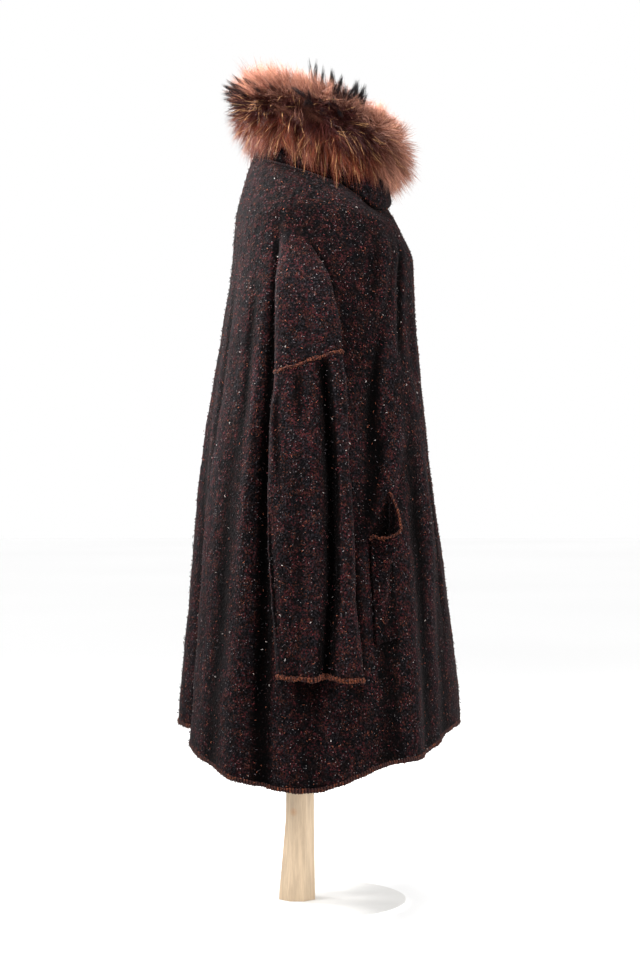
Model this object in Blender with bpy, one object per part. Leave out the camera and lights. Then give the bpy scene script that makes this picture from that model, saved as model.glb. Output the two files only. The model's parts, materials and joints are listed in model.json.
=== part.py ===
"""A swing coat of knitted wool with a fur collar, hanging on a limbless dress form.

The front faces -Y, the wearer's right side is -X, and the base stands on the floor at z = 0.
Angles run from the centre back (0) round each side to the centre front (pi).
"""

import math

import bmesh
import bpy
import numpy as np

# Cloth
WALL = 0.003
SEAM = 0.00035
EDGING_HEIGHT = 0.0078
EDGING_THICKNESS = 0.0052
EDGING_LIFT = 0.0004
FRONT_EDGE_X = 0.0088

# Rings of the coat: the neckline, the shoulders, the armhole seam and the hem
NECK_HALF_WIDTH = 0.097
NECK_MIDDLE = (-0.0285, 1.0765)
NECK_REACH = (0.1005, 0.0355)
NECK_SAG_ANGLE = math.radians(141)
NECK_SAG_SPREAD = math.radians(21)
NECK_SAG_WIDEN = 0.30
NECK_SAG_DROP = 0.019
SHOULDER_Z = 1.018
SHOULDER_BACK_Z = 1.025
SHOULDER_FRONT_Z = 1.002
CROWN_LEAN = (0.60, 0.04)
CROWN_DROP = 0.43
ARMHOLE_Z = 0.7985
ARMHOLE_SLOPE = 0.322
ARMHOLE_GAP = 0.001
HEM_Z = 0.276
HEM_DROP = 0.061
HEM_CURVE_BACK = 1.7
HEM_SHELF_FRONT = 0.44
HEM_CURVE_FRONT = 16
SIDE_Y = -0.014
COAT_MIDDLE_Z = 0.9
FULLNESS = 0.025

# Columns of the cloth grid: centre back to the back valley, round the dropped shoulder, on to the front
BACK_COLUMNS = 12
SHOULDER_COLUMNS = 12
FRONT_COLUMNS = 12
VALLEY_BACK = BACK_COLUMNS
CAP_TOP = BACK_COLUMNS + SHOULDER_COLUMNS // 2
VALLEY_FRONT = BACK_COLUMNS + SHOULDER_COLUMNS
CENTRE_FRONT = VALLEY_FRONT + FRONT_COLUMNS

# Rows of the cloth grid
SHOULDER_ROW = 4
ARMHOLE_ROW = 11
SIDE_ROW = 12
HEM_ROW = 22
SIDE_STEP = 0.007

# The body of the coat
# height, back y, front y, half width
BODY = (
    (0.190, 0.191, -0.249, 0.318),
    (0.270, 0.183, -0.241, 0.305),
    (0.333, 0.1785, -0.237, 0.292),
    (0.393, 0.1725, -0.2295, 0.280),
    (0.453, 0.1665, -0.2215, 0.268),
    (0.528, 0.1605, -0.2115, 0.255),
    (0.603, 0.1530, -0.1995, 0.243),
    (0.693, 0.1395, -0.1890, 0.229),
    (0.783, 0.1245, -0.1800, 0.214),
    (0.873, 0.1125, -0.1720, 0.204),
    (0.940, 0.1025, -0.1690, 0.192),
    (0.960, 0.1003, -0.1685, 0.188),
    (0.972, 0.0995, -0.1650, 0.185),
    (0.988, 0.0985, -0.1575, 0.180),
    (1.002, 0.0977, -0.1500, 0.176),
    (1.020, 0.0965, -0.1425, 0.169),
    (1.045, 0.0940, -0.1330, 0.158),
)

# The dropped shoulder, which hangs outside the body down to the armhole seam
# height, valley y at the back, valley y at the front, back edge y, front edge y, thickness
DROPPED_SHOULDER = (
    (0.780, -0.0085, -0.0195, 0.033, -0.061, 0.046),
    (0.833, 0.0040, -0.0270, 0.033, -0.059, 0.044),
    (0.881, 0.0190, -0.0360, 0.033, -0.051, 0.039),
    (0.942, 0.0290, -0.0300, 0.033, -0.036, 0.028),
    (0.977, 0.0290, -0.0150, 0.031, -0.018, 0.018),
    (1.010, 0.0270, -0.0080, 0.028, -0.009, 0.008),
    (1.040, 0.0260, -0.0060, 0.026, -0.006, 0.000),
)
CAP_FORMED_BY = 0.110

# The empty sleeve
# height, back edge y, front edge y, groove y, groove depth, gap to the body, thickness
SLEEVE = (
    (0.352, 0.028, -0.091, -0.037, 0.020, 0.006, 0.044),
    (0.410, 0.032, -0.085, -0.040, 0.025, 0.006, 0.046),
    (0.467, 0.036, -0.079, -0.044, 0.027, 0.005, 0.047),
    (0.542, 0.041, -0.078, -0.045, 0.028, 0.005, 0.047),
    (0.605, 0.042, -0.074, -0.044, 0.028, 0.005, 0.047),
    (0.654, 0.041, -0.070, -0.042, 0.027, 0.004, 0.047),
    (0.744, 0.039, -0.067, -0.037, 0.020, 0.003, 0.046),
    (0.780, 0.035, -0.063, -0.034, 0.010, 0.002, 0.046),
    (0.800, 0.033, -0.061, -0.033, 0.000, 0.001, 0.046),
)
SLEEVE_COLUMNS = 24
SLEEVE_ROWS = 11
CUFF_Z = 0.368
CUFF_SLOPE = 0.035
CUFF_GROOVE_RISE = 0.004
CUFF_MIDDLE_Y = -0.030
GROOVE_WIDTH = 0.0085

# Folds that run down the body, on the right (-1), the left (1) or both sides (0)
# side, angle at the top, angle at the bottom, spread, height where it starts, height where it is full, depth
FOLDS = (
    (0, 17, 17, 8.0, 0.780, 0.270, -0.035),
    (0, 36, 34, 7.0, 0.760, 0.300, -0.005),
    (0, 48, 46, 6.0, 0.800, 0.450, -0.007),
    (-1, 60, 60, 6.0, 0.880, 0.620, 0.006),
    (1, 62, 59, 6.0, 0.860, 0.600, 0.006),
    (0, 73, 71, 5.0, 0.760, 0.400, -0.006),
    (-1, 123, 121, 9.0, 0.860, 0.730, -0.010),
    (1, 121, 120, 8.0, 0.840, 0.700, -0.009),
    (-1, 143, 141, 5.5, 0.720, 0.500, -0.007),
    (1, 141, 139, 6.0, 0.740, 0.520, -0.007),
    (-1, 152, 153, 5.5, 0.900, 0.600, 0.007),
    (1, 153, 155, 6.0, 0.880, 0.560, 0.007),
    (0, 156, 153, 15.0, 0.640, 0.270, -0.027),
)
# The ridge that runs down and back into the pocket's mouth
POCKET_RIDGE_ANGLES = (136, 120)
POCKET_RIDGE_HEIGHTS = (0.715, 0.555)
POCKET_RIDGE_SPREAD = 5.0
POCKET_RIDGE_DEPTH = 0.009
POCKET_RIDGE_RUN = (-0.4, 1.2)
POCKET_RIDGE_LOW_FADE = (-0.045, 0.020)
POCKET_RIDGE_HIGH_FADE = (-0.030, 0.050)

# Patch pockets: grid columns, and the rows of the slanted mouth and of the bottom
POCKET_COLUMNS = (27.5, 27.75, 28.0, 28.25, 28.5, 28.75, 29.0)
POCKET_ROWS = 7
POCKET_MOUTH_Z = (0.548, 0.612)
POCKET_BOTTOM_Z = (0.405, 0.412)
POCKET_LIFT = 0.0009
POCKET_GAPE = (0.016, -0.027, -0.021)
POCKET_DRIFT = 0.35
POCKET_GAPE_POWERS = (1.4, 1.6)
POCKET_EDGING_HEIGHT = 0.0055
POCKET_EDGING_RISE = (0.4, 0.6)

# Collar stand and the fur that wraps it
COLLAR_ROWS = 6
COLLAR_STEPS = 36
COLLAR_TOP_HALF_WIDTH = 0.092
COLLAR_TOP_MIDDLE = (-0.033, 1.160)
COLLAR_TOP_REACH = (0.082, 0.026)
COLLAR_BULGE = 0.012
COLLAR_SAG = 0.017
COLLAR_SEAT = 0.0006
COLLAR_PUFF_POWER = 0.6
COLLAR_FRONT_FROM = math.radians(108)
COLLAR_FRONT_FULL = math.radians(150)
COLLAR_GAP_ANGLE = math.radians(1.2)
FUR_OUTWARD = 0.054
FUR_INWARD = 0.030
FUR_RISE = 0.068
FUR_MIDDLE = (0.012, -0.003)
FUR_TILT = 0.27
FUR_POINTS = 11
FUR_FIRST_ANGLE = math.radians(-68)
FUR_LAST_ANGLE = math.radians(192)
FUR_LIP = (0.24, 0.09)
FUR_INNER_ROW = 3
FUR_SLOT = 0.0012
# The fur is shorter over the front's upper side: by how much, where round the neck and where over the edge
FUR_SHORTER = 0.18
FUR_SHORT_ANGLE = (math.radians(135), 0.55)
FUR_SHORT_TURN = (math.radians(70), 0.7)

# Dress form, post and base
# height, half width, back y, front y
FORM_TORSO = (
    (0.985, 0.158, 0.083, -0.150),
    (0.945, 0.152, 0.080, -0.157),
    (0.900, 0.142, 0.072, -0.150),
    (0.850, 0.130, 0.060, -0.126),
    (0.800, 0.125, 0.055, -0.112),
    (0.740, 0.134, 0.064, -0.108),
    (0.670, 0.156, 0.084, -0.112),
    (0.610, 0.165, 0.093, -0.114),
    (0.575, 0.160, 0.089, -0.110),
    (0.562, 0.148, 0.078, -0.099),
)
# height, radius
FORM_NECK = ((1.152, 0.020), (1.149, 0.038), (1.141, 0.047), (1.120, 0.049))
NECK_CENTRE_Y = -0.022
# coat row, gap under the cloth at the sides, gap at the front and back
FORM_SHOULDERS = (
    (0, 0.016, 0.016),
    (1, 0.006, 0.012),
    (2, 0.0005, 0.010),
    (3, 0.0005, 0.010),
    (4, 0.0005, 0.010),
)
BASE_RADIUS = 0.160
BASE_THICKNESS = 0.006
BASE_BEVEL = 0.0015
BASE_SEGMENTS = 64
POST_SIDES = 8
# height, half width, centre y
POST = (
    (0.0063, 0.0268, 0.0042),
    (0.020, 0.0265, 0.0040),
    (0.130, 0.0212, 0.0000),
    (0.5615, 0.0180, -0.0020),
)

KNIT = ("bouclé knit", (0.055, 0.040, 0.042, 1.0), 0.95, 0.0)
EDGING = ("crocheted edging", (0.30, 0.085, 0.040, 1.0), 0.9, 0.0)
FUR = ("fur", (0.33, 0.15, 0.075, 1.0), 0.8, 0.0)
COVER = ("form cover", (0.78, 0.75, 0.69, 1.0), 0.85, 0.0)
WOOD = ("pale wood", (0.78, 0.62, 0.42, 1.0), 0.5, 0.0)
PLATE = ("painted steel", (0.82, 0.81, 0.79, 1.0), 0.4, 0.3)


def smooth(value, low, high):
    """0 below low, 1 above high, with a soft step between."""
    t = np.clip((value - low) / (high - low), 0.0, 1.0)
    return t * t * (3.0 - 2.0 * t)


def hump(value, centre, spread):
    return np.exp(-(((value - centre) / spread) ** 2))


def read(table, column, height):
    """One column of a table at a height, as a smooth curve through its rows."""
    rows = sorted(table)
    keys = np.array([row[0] for row in rows])
    values = np.array([row[column] for row in rows])
    slopes = np.gradient(values, keys)
    low = np.clip(np.searchsorted(keys, height) - 1, 0, len(keys) - 2)
    span = keys[low + 1] - keys[low]
    t = np.clip((height - keys[low]) / span, 0.0, 1.0)
    start = (2 * t**3 - 3 * t**2 + 1) * values[low] + (t**3 - 2 * t**2 + t) * span * slopes[low]
    end = (3 * t**2 - 2 * t**3) * values[low + 1] + (t**3 - t**2) * span * slopes[low + 1]
    return start + end


def folds(angle, height, side):
    """How far the folds push the cloth out, at an angle and a height."""
    degrees = np.degrees(angle)
    out = np.zeros(np.broadcast(angle, height).shape)
    for where, top_angle, low_angle, spread, start, full, depth in FOLDS:
        if where in (0, side):
            centre = top_angle + (low_angle - top_angle) * np.clip((start - height) / (start - HEM_Z), 0, 1)
            out = out + depth * hump(degrees, centre, spread) * smooth(-height, -start, -full)
    high, low = POCKET_RIDGE_HEIGHTS
    along = np.clip((high - height) / (high - low), *POCKET_RIDGE_RUN)
    centre = POCKET_RIDGE_ANGLES[0] + (POCKET_RIDGE_ANGLES[1] - POCKET_RIDGE_ANGLES[0]) * along
    fade = smooth(height - low, *POCKET_RIDGE_LOW_FADE) * smooth(high - height, *POCKET_RIDGE_HIGH_FADE)
    return out + POCKET_RIDGE_DEPTH * hump(degrees, centre, POCKET_RIDGE_SPREAD) * fade


def section(angle, height, side):
    """A point of the coat's body on the section at this height."""
    back, front, half = (read(BODY, column, height) for column in (1, 2, 3))
    reach = np.where(np.cos(angle) > 0, back - SIDE_Y, SIDE_Y - front)
    full = 1.0 + FULLNESS * np.sin(2 * angle) ** 2
    out = folds(angle, height, side)
    x = half * np.sin(angle) * full + out * np.sin(angle)
    y = SIDE_Y + reach * np.cos(angle) * full + out * np.cos(angle)
    return np.stack(np.broadcast_arrays(side * x, y, height), axis=-1)


def neckline(angle, side):
    sag = hump(angle, NECK_SAG_ANGLE, NECK_SAG_SPREAD)
    x = NECK_HALF_WIDTH * np.sin(angle) * (1 + NECK_SAG_WIDEN * sag)
    y = NECK_MIDDLE[0] + NECK_REACH[0] * np.cos(angle)
    z = NECK_MIDDLE[1] + NECK_REACH[1] * np.cos(angle) - NECK_SAG_DROP * sag
    return np.stack(np.broadcast_arrays(side * x, y, z), axis=-1)


def shoulder_height(angle):
    drop = np.where(np.cos(angle) > 0, SHOULDER_BACK_Z, SHOULDER_FRONT_Z) - SHOULDER_Z
    return SHOULDER_Z + drop * np.cos(angle) ** 2


def hem_height(angle):
    swell = np.abs(np.sin(angle))
    front = HEM_SHELF_FRONT * smooth(swell, 0.1, 0.75) + (1 - HEM_SHELF_FRONT) * swell**HEM_CURVE_FRONT
    return HEM_Z - HEM_DROP * np.where(np.cos(angle) > 0, swell**HEM_CURVE_BACK, front)


def side_height(row):
    """The height of a row at the side of the coat, down to the armhole seam."""
    along = (np.clip(row, SHOULDER_ROW, ARMHOLE_ROW) - SHOULDER_ROW) / (ARMHOLE_ROW - SHOULDER_ROW)
    return SHOULDER_Z + (ARMHOLE_Z - SHOULDER_Z) * along


def valley_angle(row, valley):
    """The angle of the fold between the body and the dropped shoulder. It closes to the side seam below."""
    height = side_height(row)
    back, front = read(BODY, 1, height), read(BODY, 2, height)
    y = read(DROPPED_SHOULDER, valley, height)
    reach = np.where(y > SIDE_Y, back - SIDE_Y, SIDE_Y - front)
    angle = np.arccos(np.clip((y - SIDE_Y) / reach, -1, 1))
    below = np.clip(row - ARMHOLE_ROW, 0, 1)
    return angle + (math.pi / 2 - angle) * below


def column_angle(column, row):
    back, front = valley_angle(row, 1), valley_angle(row, 2)
    half = np.where(row < SHOULDER_ROW, NECK_HALF_WIDTH, read(BODY, 3, side_height(row)))
    end = math.pi - np.arcsin(FRONT_EDGE_X / half)
    angle = back * np.clip(column / BACK_COLUMNS, 0, 1)
    angle = angle + (front - back) * np.clip((column - VALLEY_BACK) / SHOULDER_COLUMNS, 0, 1)
    return angle + (end - front) * np.clip((column - VALLEY_FRONT) / FRONT_COLUMNS, 0, 1)


def turn_of(column):
    """The angle round the dropped shoulder: pi at the back valley, 0 at its ridge, -pi at the front one."""
    return math.pi * (1 - 2 * np.clip((column - VALLEY_BACK) / SHOULDER_COLUMNS, 0, 1))


def armhole_rise(y, turn):
    return -ARMHOLE_SLOPE * (y - SIDE_Y) * smooth(math.pi - np.abs(turn), 0.0, math.pi / 3)


def tube_y(turn, back_edge, front_edge, back_root, front_root):
    """y round a flattened tube that runs from its roots, over its edges, to the ridge between them."""
    ridge = (back_edge + front_edge) / 2
    edge = np.where(turn > 0, back_edge, front_edge)
    root = np.where(turn > 0, back_root, front_root)
    inner = np.abs(turn) > math.pi / 2
    return np.where(inner, root, ridge) + (edge - np.where(inner, root, ridge)) * np.abs(np.sin(turn))


def coat(column, row, side):
    """A point on the outside of the coat, from the cloth grid's column and row."""
    column, row = np.broadcast_arrays(np.asarray(column, float), np.asarray(row, float))
    angle = column_angle(column, row)
    # From the neckline over the shoulders
    neck = neckline(angle, side)
    tip_height = shoulder_height(angle)
    tip = section(angle, tip_height, side)
    t = np.clip(row / SHOULDER_ROW, 0, 1)[..., None]
    lean = (CROWN_LEAN[0] + CROWN_LEAN[1] * np.sin(angle) ** 2)[..., None]
    crown = neck + (tip - neck) * np.concatenate([lean, lean, np.full_like(lean, CROWN_DROP)], axis=-1)
    top = (1 - t) ** 2 * neck + 2 * t * (1 - t) * crown + t**2 * tip
    # Down to the armhole seam
    fall = np.clip((row - SHOULDER_ROW) / (ARMHOLE_ROW - SHOULDER_ROW), 0, 1)
    height = tip_height + (ARMHOLE_Z - tip_height) * fall
    # Down to the hem
    below = np.clip((row - SIDE_ROW) / (HEM_ROW - SIDE_ROW), 0, 1)
    height = height - SIDE_STEP * np.clip(row - ARMHOLE_ROW, 0, 1)
    height = height + (hem_height(angle) - height) * below
    body = section(angle, height, side)
    # The dropped shoulder
    level = side_height(row)
    values = [read(DROPPED_SHOULDER, index, level) for index in range(1, 6)]
    valley_back, valley_front, back_edge, front_edge, thick = values
    turn = turn_of(column)
    y = tube_y(turn, back_edge, front_edge, valley_back, valley_front)
    root = np.abs(section(angle, height, side)[..., 0])
    x = root + thick * (1 + np.cos(turn)) / 2
    z = height + armhole_rise(y, turn) * fall**2
    cap = np.stack([side * x, y, z], axis=-1)
    formed = smooth(SHOULDER_Z - level, 0.0, CAP_FORMED_BY)
    inside = (column > VALLEY_BACK) & (column < VALLEY_FRONT) & (row <= ARMHOLE_ROW)
    share = np.where(inside, formed, 0.0)[..., None]
    hung = body + (cap - body) * share
    return np.where((row < SHOULDER_ROW)[..., None], top, hung)


def unit(vectors):
    return vectors / np.maximum(np.linalg.norm(vectors, axis=-1, keepdims=True), 1e-9)


def inward(points, side):
    """The wall's direction into the coat at each point of a half grid that starts at the centre back."""
    mirrored = points[:, 1:2] * np.array([-1.0, 1.0, 1.0])
    wide = np.concatenate([mirrored, points, 2 * points[:, -1:] - points[:, -2:-1]], axis=1)
    across = wide[:, 2:] - wide[:, :-2]
    down = np.gradient(points, axis=0)
    flat = np.stack([across[..., 1], -across[..., 0], np.zeros(across.shape[:2])], axis=-1)
    sloped = np.cross(across, down)
    middle = np.array([0.0, SIDE_Y, COAT_MIDDLE_Z])
    for field in (flat, sloped):
        field *= np.where((field * (points - middle)).sum(-1, keepdims=True) > 0, -1.0, 1.0)
    share = 1 - smooth(np.arange(len(points)), SHOULDER_ROW - 1, SHOULDER_ROW + 2)[:, None, None]
    return flat_or_sloped(unit(flat), unit(sloped), share)


def flat_or_sloped(flat, sloped, share):
    return unit(flat * (1 - share) + sloped * share)


def half_grid(side):
    """The outer and inner points of half the coat, for each row and column of the cloth grid."""
    column = np.arange(CENTRE_FRONT + 1)[None, :]
    row = np.arange(HEM_ROW + 1)[:, None]
    outer = coat(column, row, side)
    direction = inward(outer, side)
    # Round the dropped shoulder the wall faces the tube's own middle
    for line in range(SHOULDER_ROW + 1, ARMHOLE_ROW + 1):
        for place in range(VALLEY_BACK, VALLEY_FRONT + 1):
            before, after = outer[line, place - 1], outer[line, place + 1]
            across = after - before
            direction[line, place] = unit(np.array([across[1], -across[0], 0.0]) * side)
    # At the side seam both panels' walls turn in the same way
    across = outer[SIDE_ROW:, VALLEY_FRONT + 1] - outer[SIDE_ROW:, VALLEY_BACK - 1]
    seam = unit(np.stack([across[:, 1], -across[:, 0], np.zeros(len(across))], axis=-1) * side)
    direction[SIDE_ROW:, VALLEY_BACK : VALLEY_FRONT + 1] = seam[:, None]
    return outer, outer + WALL * direction


def pulled(outer, inner, axis, end):
    """The same walls with one edge drawn back by half a seam's gap."""
    outer, inner = outer.copy(), inner.copy()
    edge = (slice(None), end) if axis else (end,)
    beside = 1 if end == 0 else end - 1
    other = (slice(None), beside) if axis else (beside,)
    step = unit(outer[other] - outer[edge]) * SEAM / 2
    outer[edge] += step
    inner[edge] += step
    return outer, inner


def material(finish):
    name, colour, roughness, metallic = finish
    found = bpy.data.materials.get(name)
    if found:
        return found
    made = bpy.data.materials.new(name)
    made.use_nodes = True
    shader = made.node_tree.nodes["Principled BSDF"]
    shader.inputs["Base Color"].default_value = colour
    shader.inputs["Roughness"].default_value = roughness
    shader.inputs["Metallic"].default_value = metallic
    made.diffuse_color = colour
    return made


def finish_object(name, mesh, finish, collection, sharp=math.radians(50)):
    bmesh.ops.delete(mesh, geom=[v for v in mesh.verts if not v.link_faces], context="VERTS")
    bmesh.ops.recalc_face_normals(mesh, faces=mesh.faces)
    data = bpy.data.meshes.new(name)
    mesh.to_mesh(data)
    mesh.free()
    data.shade_smooth()
    data.set_sharp_from_angle(angle=sharp)
    data.materials.append(material(finish))
    made = bpy.data.objects.new(name, data)
    collection.objects.link(made)
    return made


def split(mesh, corners):
    """Two triangles, so that walls that face each other bend along the same lines."""
    a, b, c, d = corners
    mesh.faces.new((a, b, c))
    mesh.faces.new((a, c, d))


def wall(name, outer, inner, finish, collection, keep=None, wraps=False):
    """A closed cloth wall between two grids of points, over the cells that keep marks."""
    mesh = bmesh.new()
    rows, columns = outer.shape[:2]
    faces_wide = columns if wraps else columns - 1
    if keep is None:
        keep = np.ones((rows - 1, faces_wide), bool)
    layers = [[mesh.verts.new(point) for point in grid.reshape(-1, 3)] for grid in (outer, inner)]
    rims = {}
    for r in range(rows - 1):
        for c in range(faces_wide):
            if not keep[r, c]:
                continue
            n = (c + 1) % columns
            corners = [r * columns + c, r * columns + n, (r + 1) * columns + n, (r + 1) * columns + c]
            for layer in layers:
                split(mesh, [layer[i] for i in corners])
            for a, b in zip(corners, corners[1:] + corners[:1]):
                if rims.pop((b, a), None) is None:
                    rims[(a, b)] = True
    for a, b in rims:
        mesh.faces.new((layers[0][a], layers[0][b], layers[1][b], layers[1][a]))
    return finish_object(name, mesh, finish, collection)


def loft(name, rings, finish, collection, closed=False):
    """A closed body through rings of points, with flat ends unless its rings close on themselves."""
    mesh = bmesh.new()
    grid = [[mesh.verts.new(point) for point in ring] for ring in rings]
    steps = len(grid) if closed else len(grid) - 1
    for r in range(steps):
        lower, upper = grid[r], grid[(r + 1) % len(grid)]
        for c in range(len(lower)):
            n = (c + 1) % len(lower)
            split(mesh, (lower[c], lower[n], upper[n], upper[c]))
    if not closed:
        mesh.faces.new(grid[0])
        mesh.faces.new(grid[-1])
    return finish_object(name, mesh, finish, collection)


def edging(name, outer, inner, away, collection, closed=False, height=EDGING_HEIGHT, lift=EDGING_LIFT):
    """A crocheted bar along a cloth edge: away points off the edge, out of the cloth."""
    middle = (outer + inner) / 2
    across = unit(outer - inner)
    along = unit(np.gradient(middle, axis=0))
    square = unit(np.cross(along, across))
    away = square * np.sign((square * away).sum(-1, keepdims=True))
    half = EDGING_THICKNESS / 2
    # across share, height share
    profile = ((-0.86, 0.0), (0.86, 0.0), (1.0, 0.5), (0.6, 1.0), (-0.6, 1.0), (-1.0, 0.5))
    rings = []
    for point, side, off in zip(middle, across, away):
        rings.append([point + side * half * a + off * (lift + height * b) for a, b in profile])
    return loft(name, rings, EDGING, collection, closed=closed)


def build_body(halves, collection):
    """The back, and a front on each side. Each reaches over its half of the dropped shoulder."""
    rows = np.arange(HEM_ROW)[:, None]
    parts = {}
    for side in (-1, 1):
        outer, inner = halves[side]
        parts[side] = pulled(outer[:, : CAP_TOP + 1], inner[:, : CAP_TOP + 1], 1, CAP_TOP)
        parts[side] = side_pull(*parts[side], VALLEY_BACK)
    right, left = parts[-1], parts[1]
    outer = np.concatenate([right[0][:, :0:-1], left[0]], axis=1)
    inner = np.concatenate([right[1][:, :0:-1], left[1]], axis=1)
    place = np.abs(np.arange(2 * CAP_TOP) + 0.5 - CAP_TOP)[None, :]
    keep = (rows < ARMHOLE_ROW) | (place < VALLEY_BACK)
    wall("back", outer, inner, KNIT, collection, keep)
    for side, name in ((-1, "front_right"), (1, "front_left")):
        outer, inner = halves[side]
        outer, inner = pulled(outer[:, CAP_TOP:], inner[:, CAP_TOP:], 1, 0)
        outer, inner = side_pull(outer, inner, VALLEY_FRONT - CAP_TOP, toward=1)
        column = np.arange(CAP_TOP, CENTRE_FRONT)[None, :]
        keep = (rows < ARMHOLE_ROW) | (column >= VALLEY_FRONT)
        wall(name, outer, inner, KNIT, collection, keep)


def side_pull(outer, inner, column, toward=-1):
    """Opens the side seam by half a seam's gap below the armhole."""
    outer, inner = outer.copy(), inner.copy()
    below = slice(SIDE_ROW, None)
    step = unit(outer[below, column + toward] - outer[below, column]) * SEAM / 2
    outer[below, column] += step
    inner[below, column] += step
    return outer, inner


def sleeve_points(turn, along, side):
    """Points on the outside of the sleeve: the turn round it, and 0 at the armhole to 1 at the cuff."""
    turn, along = np.broadcast_arrays(turn, along)
    level = ARMHOLE_Z + (CUFF_Z - ARMHOLE_Z) * along
    back_edge, front_edge, groove_y, groove_depth, gap, thick = (read(SLEEVE, i, level) for i in range(1, 7))
    y = tube_y(turn, back_edge, front_edge, SIDE_Y, SIDE_Y)
    outside = smooth(np.cos(turn), -0.1, 0.35)
    fold = hump(y, groove_y, GROOVE_WIDTH) * outside
    top = ARMHOLE_Z + armhole_rise(y, turn) - ARMHOLE_GAP
    bottom = CUFF_Z + CUFF_SLOPE * (y - CUFF_MIDDLE_Y) + CUFF_GROOVE_RISE * fold
    z = top + (bottom - top) * along
    root = read(BODY, 3, z) + gap
    x = root + thick * (1 + np.cos(turn)) / 2 - groove_depth * fold
    return np.stack([side * x, y, z], axis=-1)


def build_sleeves(collection):
    turn = math.pi * (1 - 2 * np.arange(SLEEVE_COLUMNS) / SLEEVE_COLUMNS)[None, :]
    along = (np.arange(SLEEVE_ROWS + 1) / SLEEVE_ROWS)[:, None]
    for side, name in ((-1, "right"), (1, "left")):
        outer = sleeve_points(turn, along, side)
        # The sleeve head runs along the straight edges of the armhole
        outer[0, 1::2] = (outer[0, 0::2] + np.roll(outer[0, 0::2], -1, axis=0)) / 2
        across = np.roll(outer, -1, axis=1) - np.roll(outer, 1, axis=1)
        direction = unit(np.stack([across[..., 1], -across[..., 0], np.zeros(across.shape[:2])], axis=-1) * side)
        inner = outer + WALL * direction
        wall("sleeve_" + name, outer, inner, KNIT, collection, wraps=True)
        away = unit(outer[-1] - outer[-2])
        edging("cuff_edging_" + name, outer[-1], inner[-1], away, collection, closed=True)


def collar_points(angle, along):
    """Points on the outside of the collar stand: a signed angle, and 0 at the neckline to 1 at the top."""
    angle, along = np.broadcast_arrays(angle, along)
    side, size = np.sign(angle + 1e-9), np.abs(angle)
    foot = neckline(size, side) + np.array([0.0, 0.0, COLLAR_SEAT])
    top_x = COLLAR_TOP_HALF_WIDTH * np.sin(angle)
    top_y = COLLAR_TOP_MIDDLE[0] + COLLAR_TOP_REACH[0] * np.cos(angle)
    top_z = COLLAR_TOP_MIDDLE[1] + COLLAR_TOP_REACH[1] * np.cos(angle)
    top = np.stack([top_x, top_y, top_z], axis=-1)
    front = smooth(size, COLLAR_FRONT_FROM, COLLAR_FRONT_FULL)
    puff = np.sin(math.pi * along**COLLAR_PUFF_POWER)
    out = np.stack([np.sin(angle), np.cos(angle), np.zeros_like(angle)], axis=-1)
    sag = np.zeros_like(out)
    sag[..., 2] = -front * COLLAR_SAG * np.sin(math.pi * along)
    return foot + (top - foot) * along[..., None] + out * (front * COLLAR_BULGE * puff)[..., None] + sag


def collar_angles():
    reach = math.pi - COLLAR_GAP_ANGLE
    return np.linspace(-reach, reach, COLLAR_STEPS + 1)


def collar_walls():
    angle = collar_angles()[None, :]
    along = np.linspace(0.0, 1.0, COLLAR_ROWS)[:, None]
    outer = collar_points(angle, along)
    out = np.stack([np.sin(angle), np.cos(angle), np.zeros_like(angle)], axis=-1)
    return outer, outer - WALL * out


def build_collar(collection):
    outer, inner = collar_walls()
    wall("collar", outer, inner, KNIT, collection)
    rings = []
    steps = np.linspace(FUR_FIRST_ANGLE, FUR_LAST_ANGLE, FUR_POINTS)
    up = np.array([0.0, 0.0, 1.0])
    for place, angle in enumerate(collar_angles()):
        out = np.array([math.sin(angle), math.cos(angle), 0.0])
        top = outer[-1, place]
        slot_outside = [outer[row, place] + out * FUR_SLOT for row in range(COLLAR_ROWS - 1, 1, -1)]
        slot_outside[0] = slot_outside[0] + up * FUR_SLOT
        lip = (FUR_LIP[0] - FUR_LIP[1] * math.cos(angle)) * (COLLAR_ROWS - 1)
        low = int(lip)
        foot = outer[low, place] * (1 - lip + low) + outer[low + 1, place] * (lip - low)
        ring = [*slot_outside, foot + out * FUR_SLOT]
        for step in steps:
            reach = FUR_OUTWARD if math.cos(step) > 0 else FUR_INWARD
            depth = 1 - FUR_SHORTER * hump(abs(angle), *FUR_SHORT_ANGLE) * hump(step, *FUR_SHORT_TURN)
            across = (FUR_MIDDLE[0] + reach * math.cos(step)) * depth
            rise = (FUR_MIDDLE[1] + FUR_RISE * math.sin(step)) * depth + FUR_TILT * across * math.cos(angle)
            ring.append(top + out * across + up * rise)
        ring += [inner[row, place] - out * FUR_SLOT for row in range(FUR_INNER_ROW, COLLAR_ROWS - 1)]
        ring.append(inner[-1, place] - out * FUR_SLOT + up * FUR_SLOT)
        rings.append(ring)
    loft("fur_collar", [ring[::-1] for ring in rings], FUR, collection)


def panel_point(outer, column, height):
    """A point of the panel's flat cells on one grid column, at a height."""
    low = int(min(column, CENTRE_FRONT - 1))
    share = column - low
    line = outer[SIDE_ROW:, low] * (1 - share) + outer[SIDE_ROW:, low + 1] * share
    order = np.argsort(line[:, 2])
    return np.array([np.interp(height, line[order, 2], line[order, axis]) for axis in range(3)])


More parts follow.
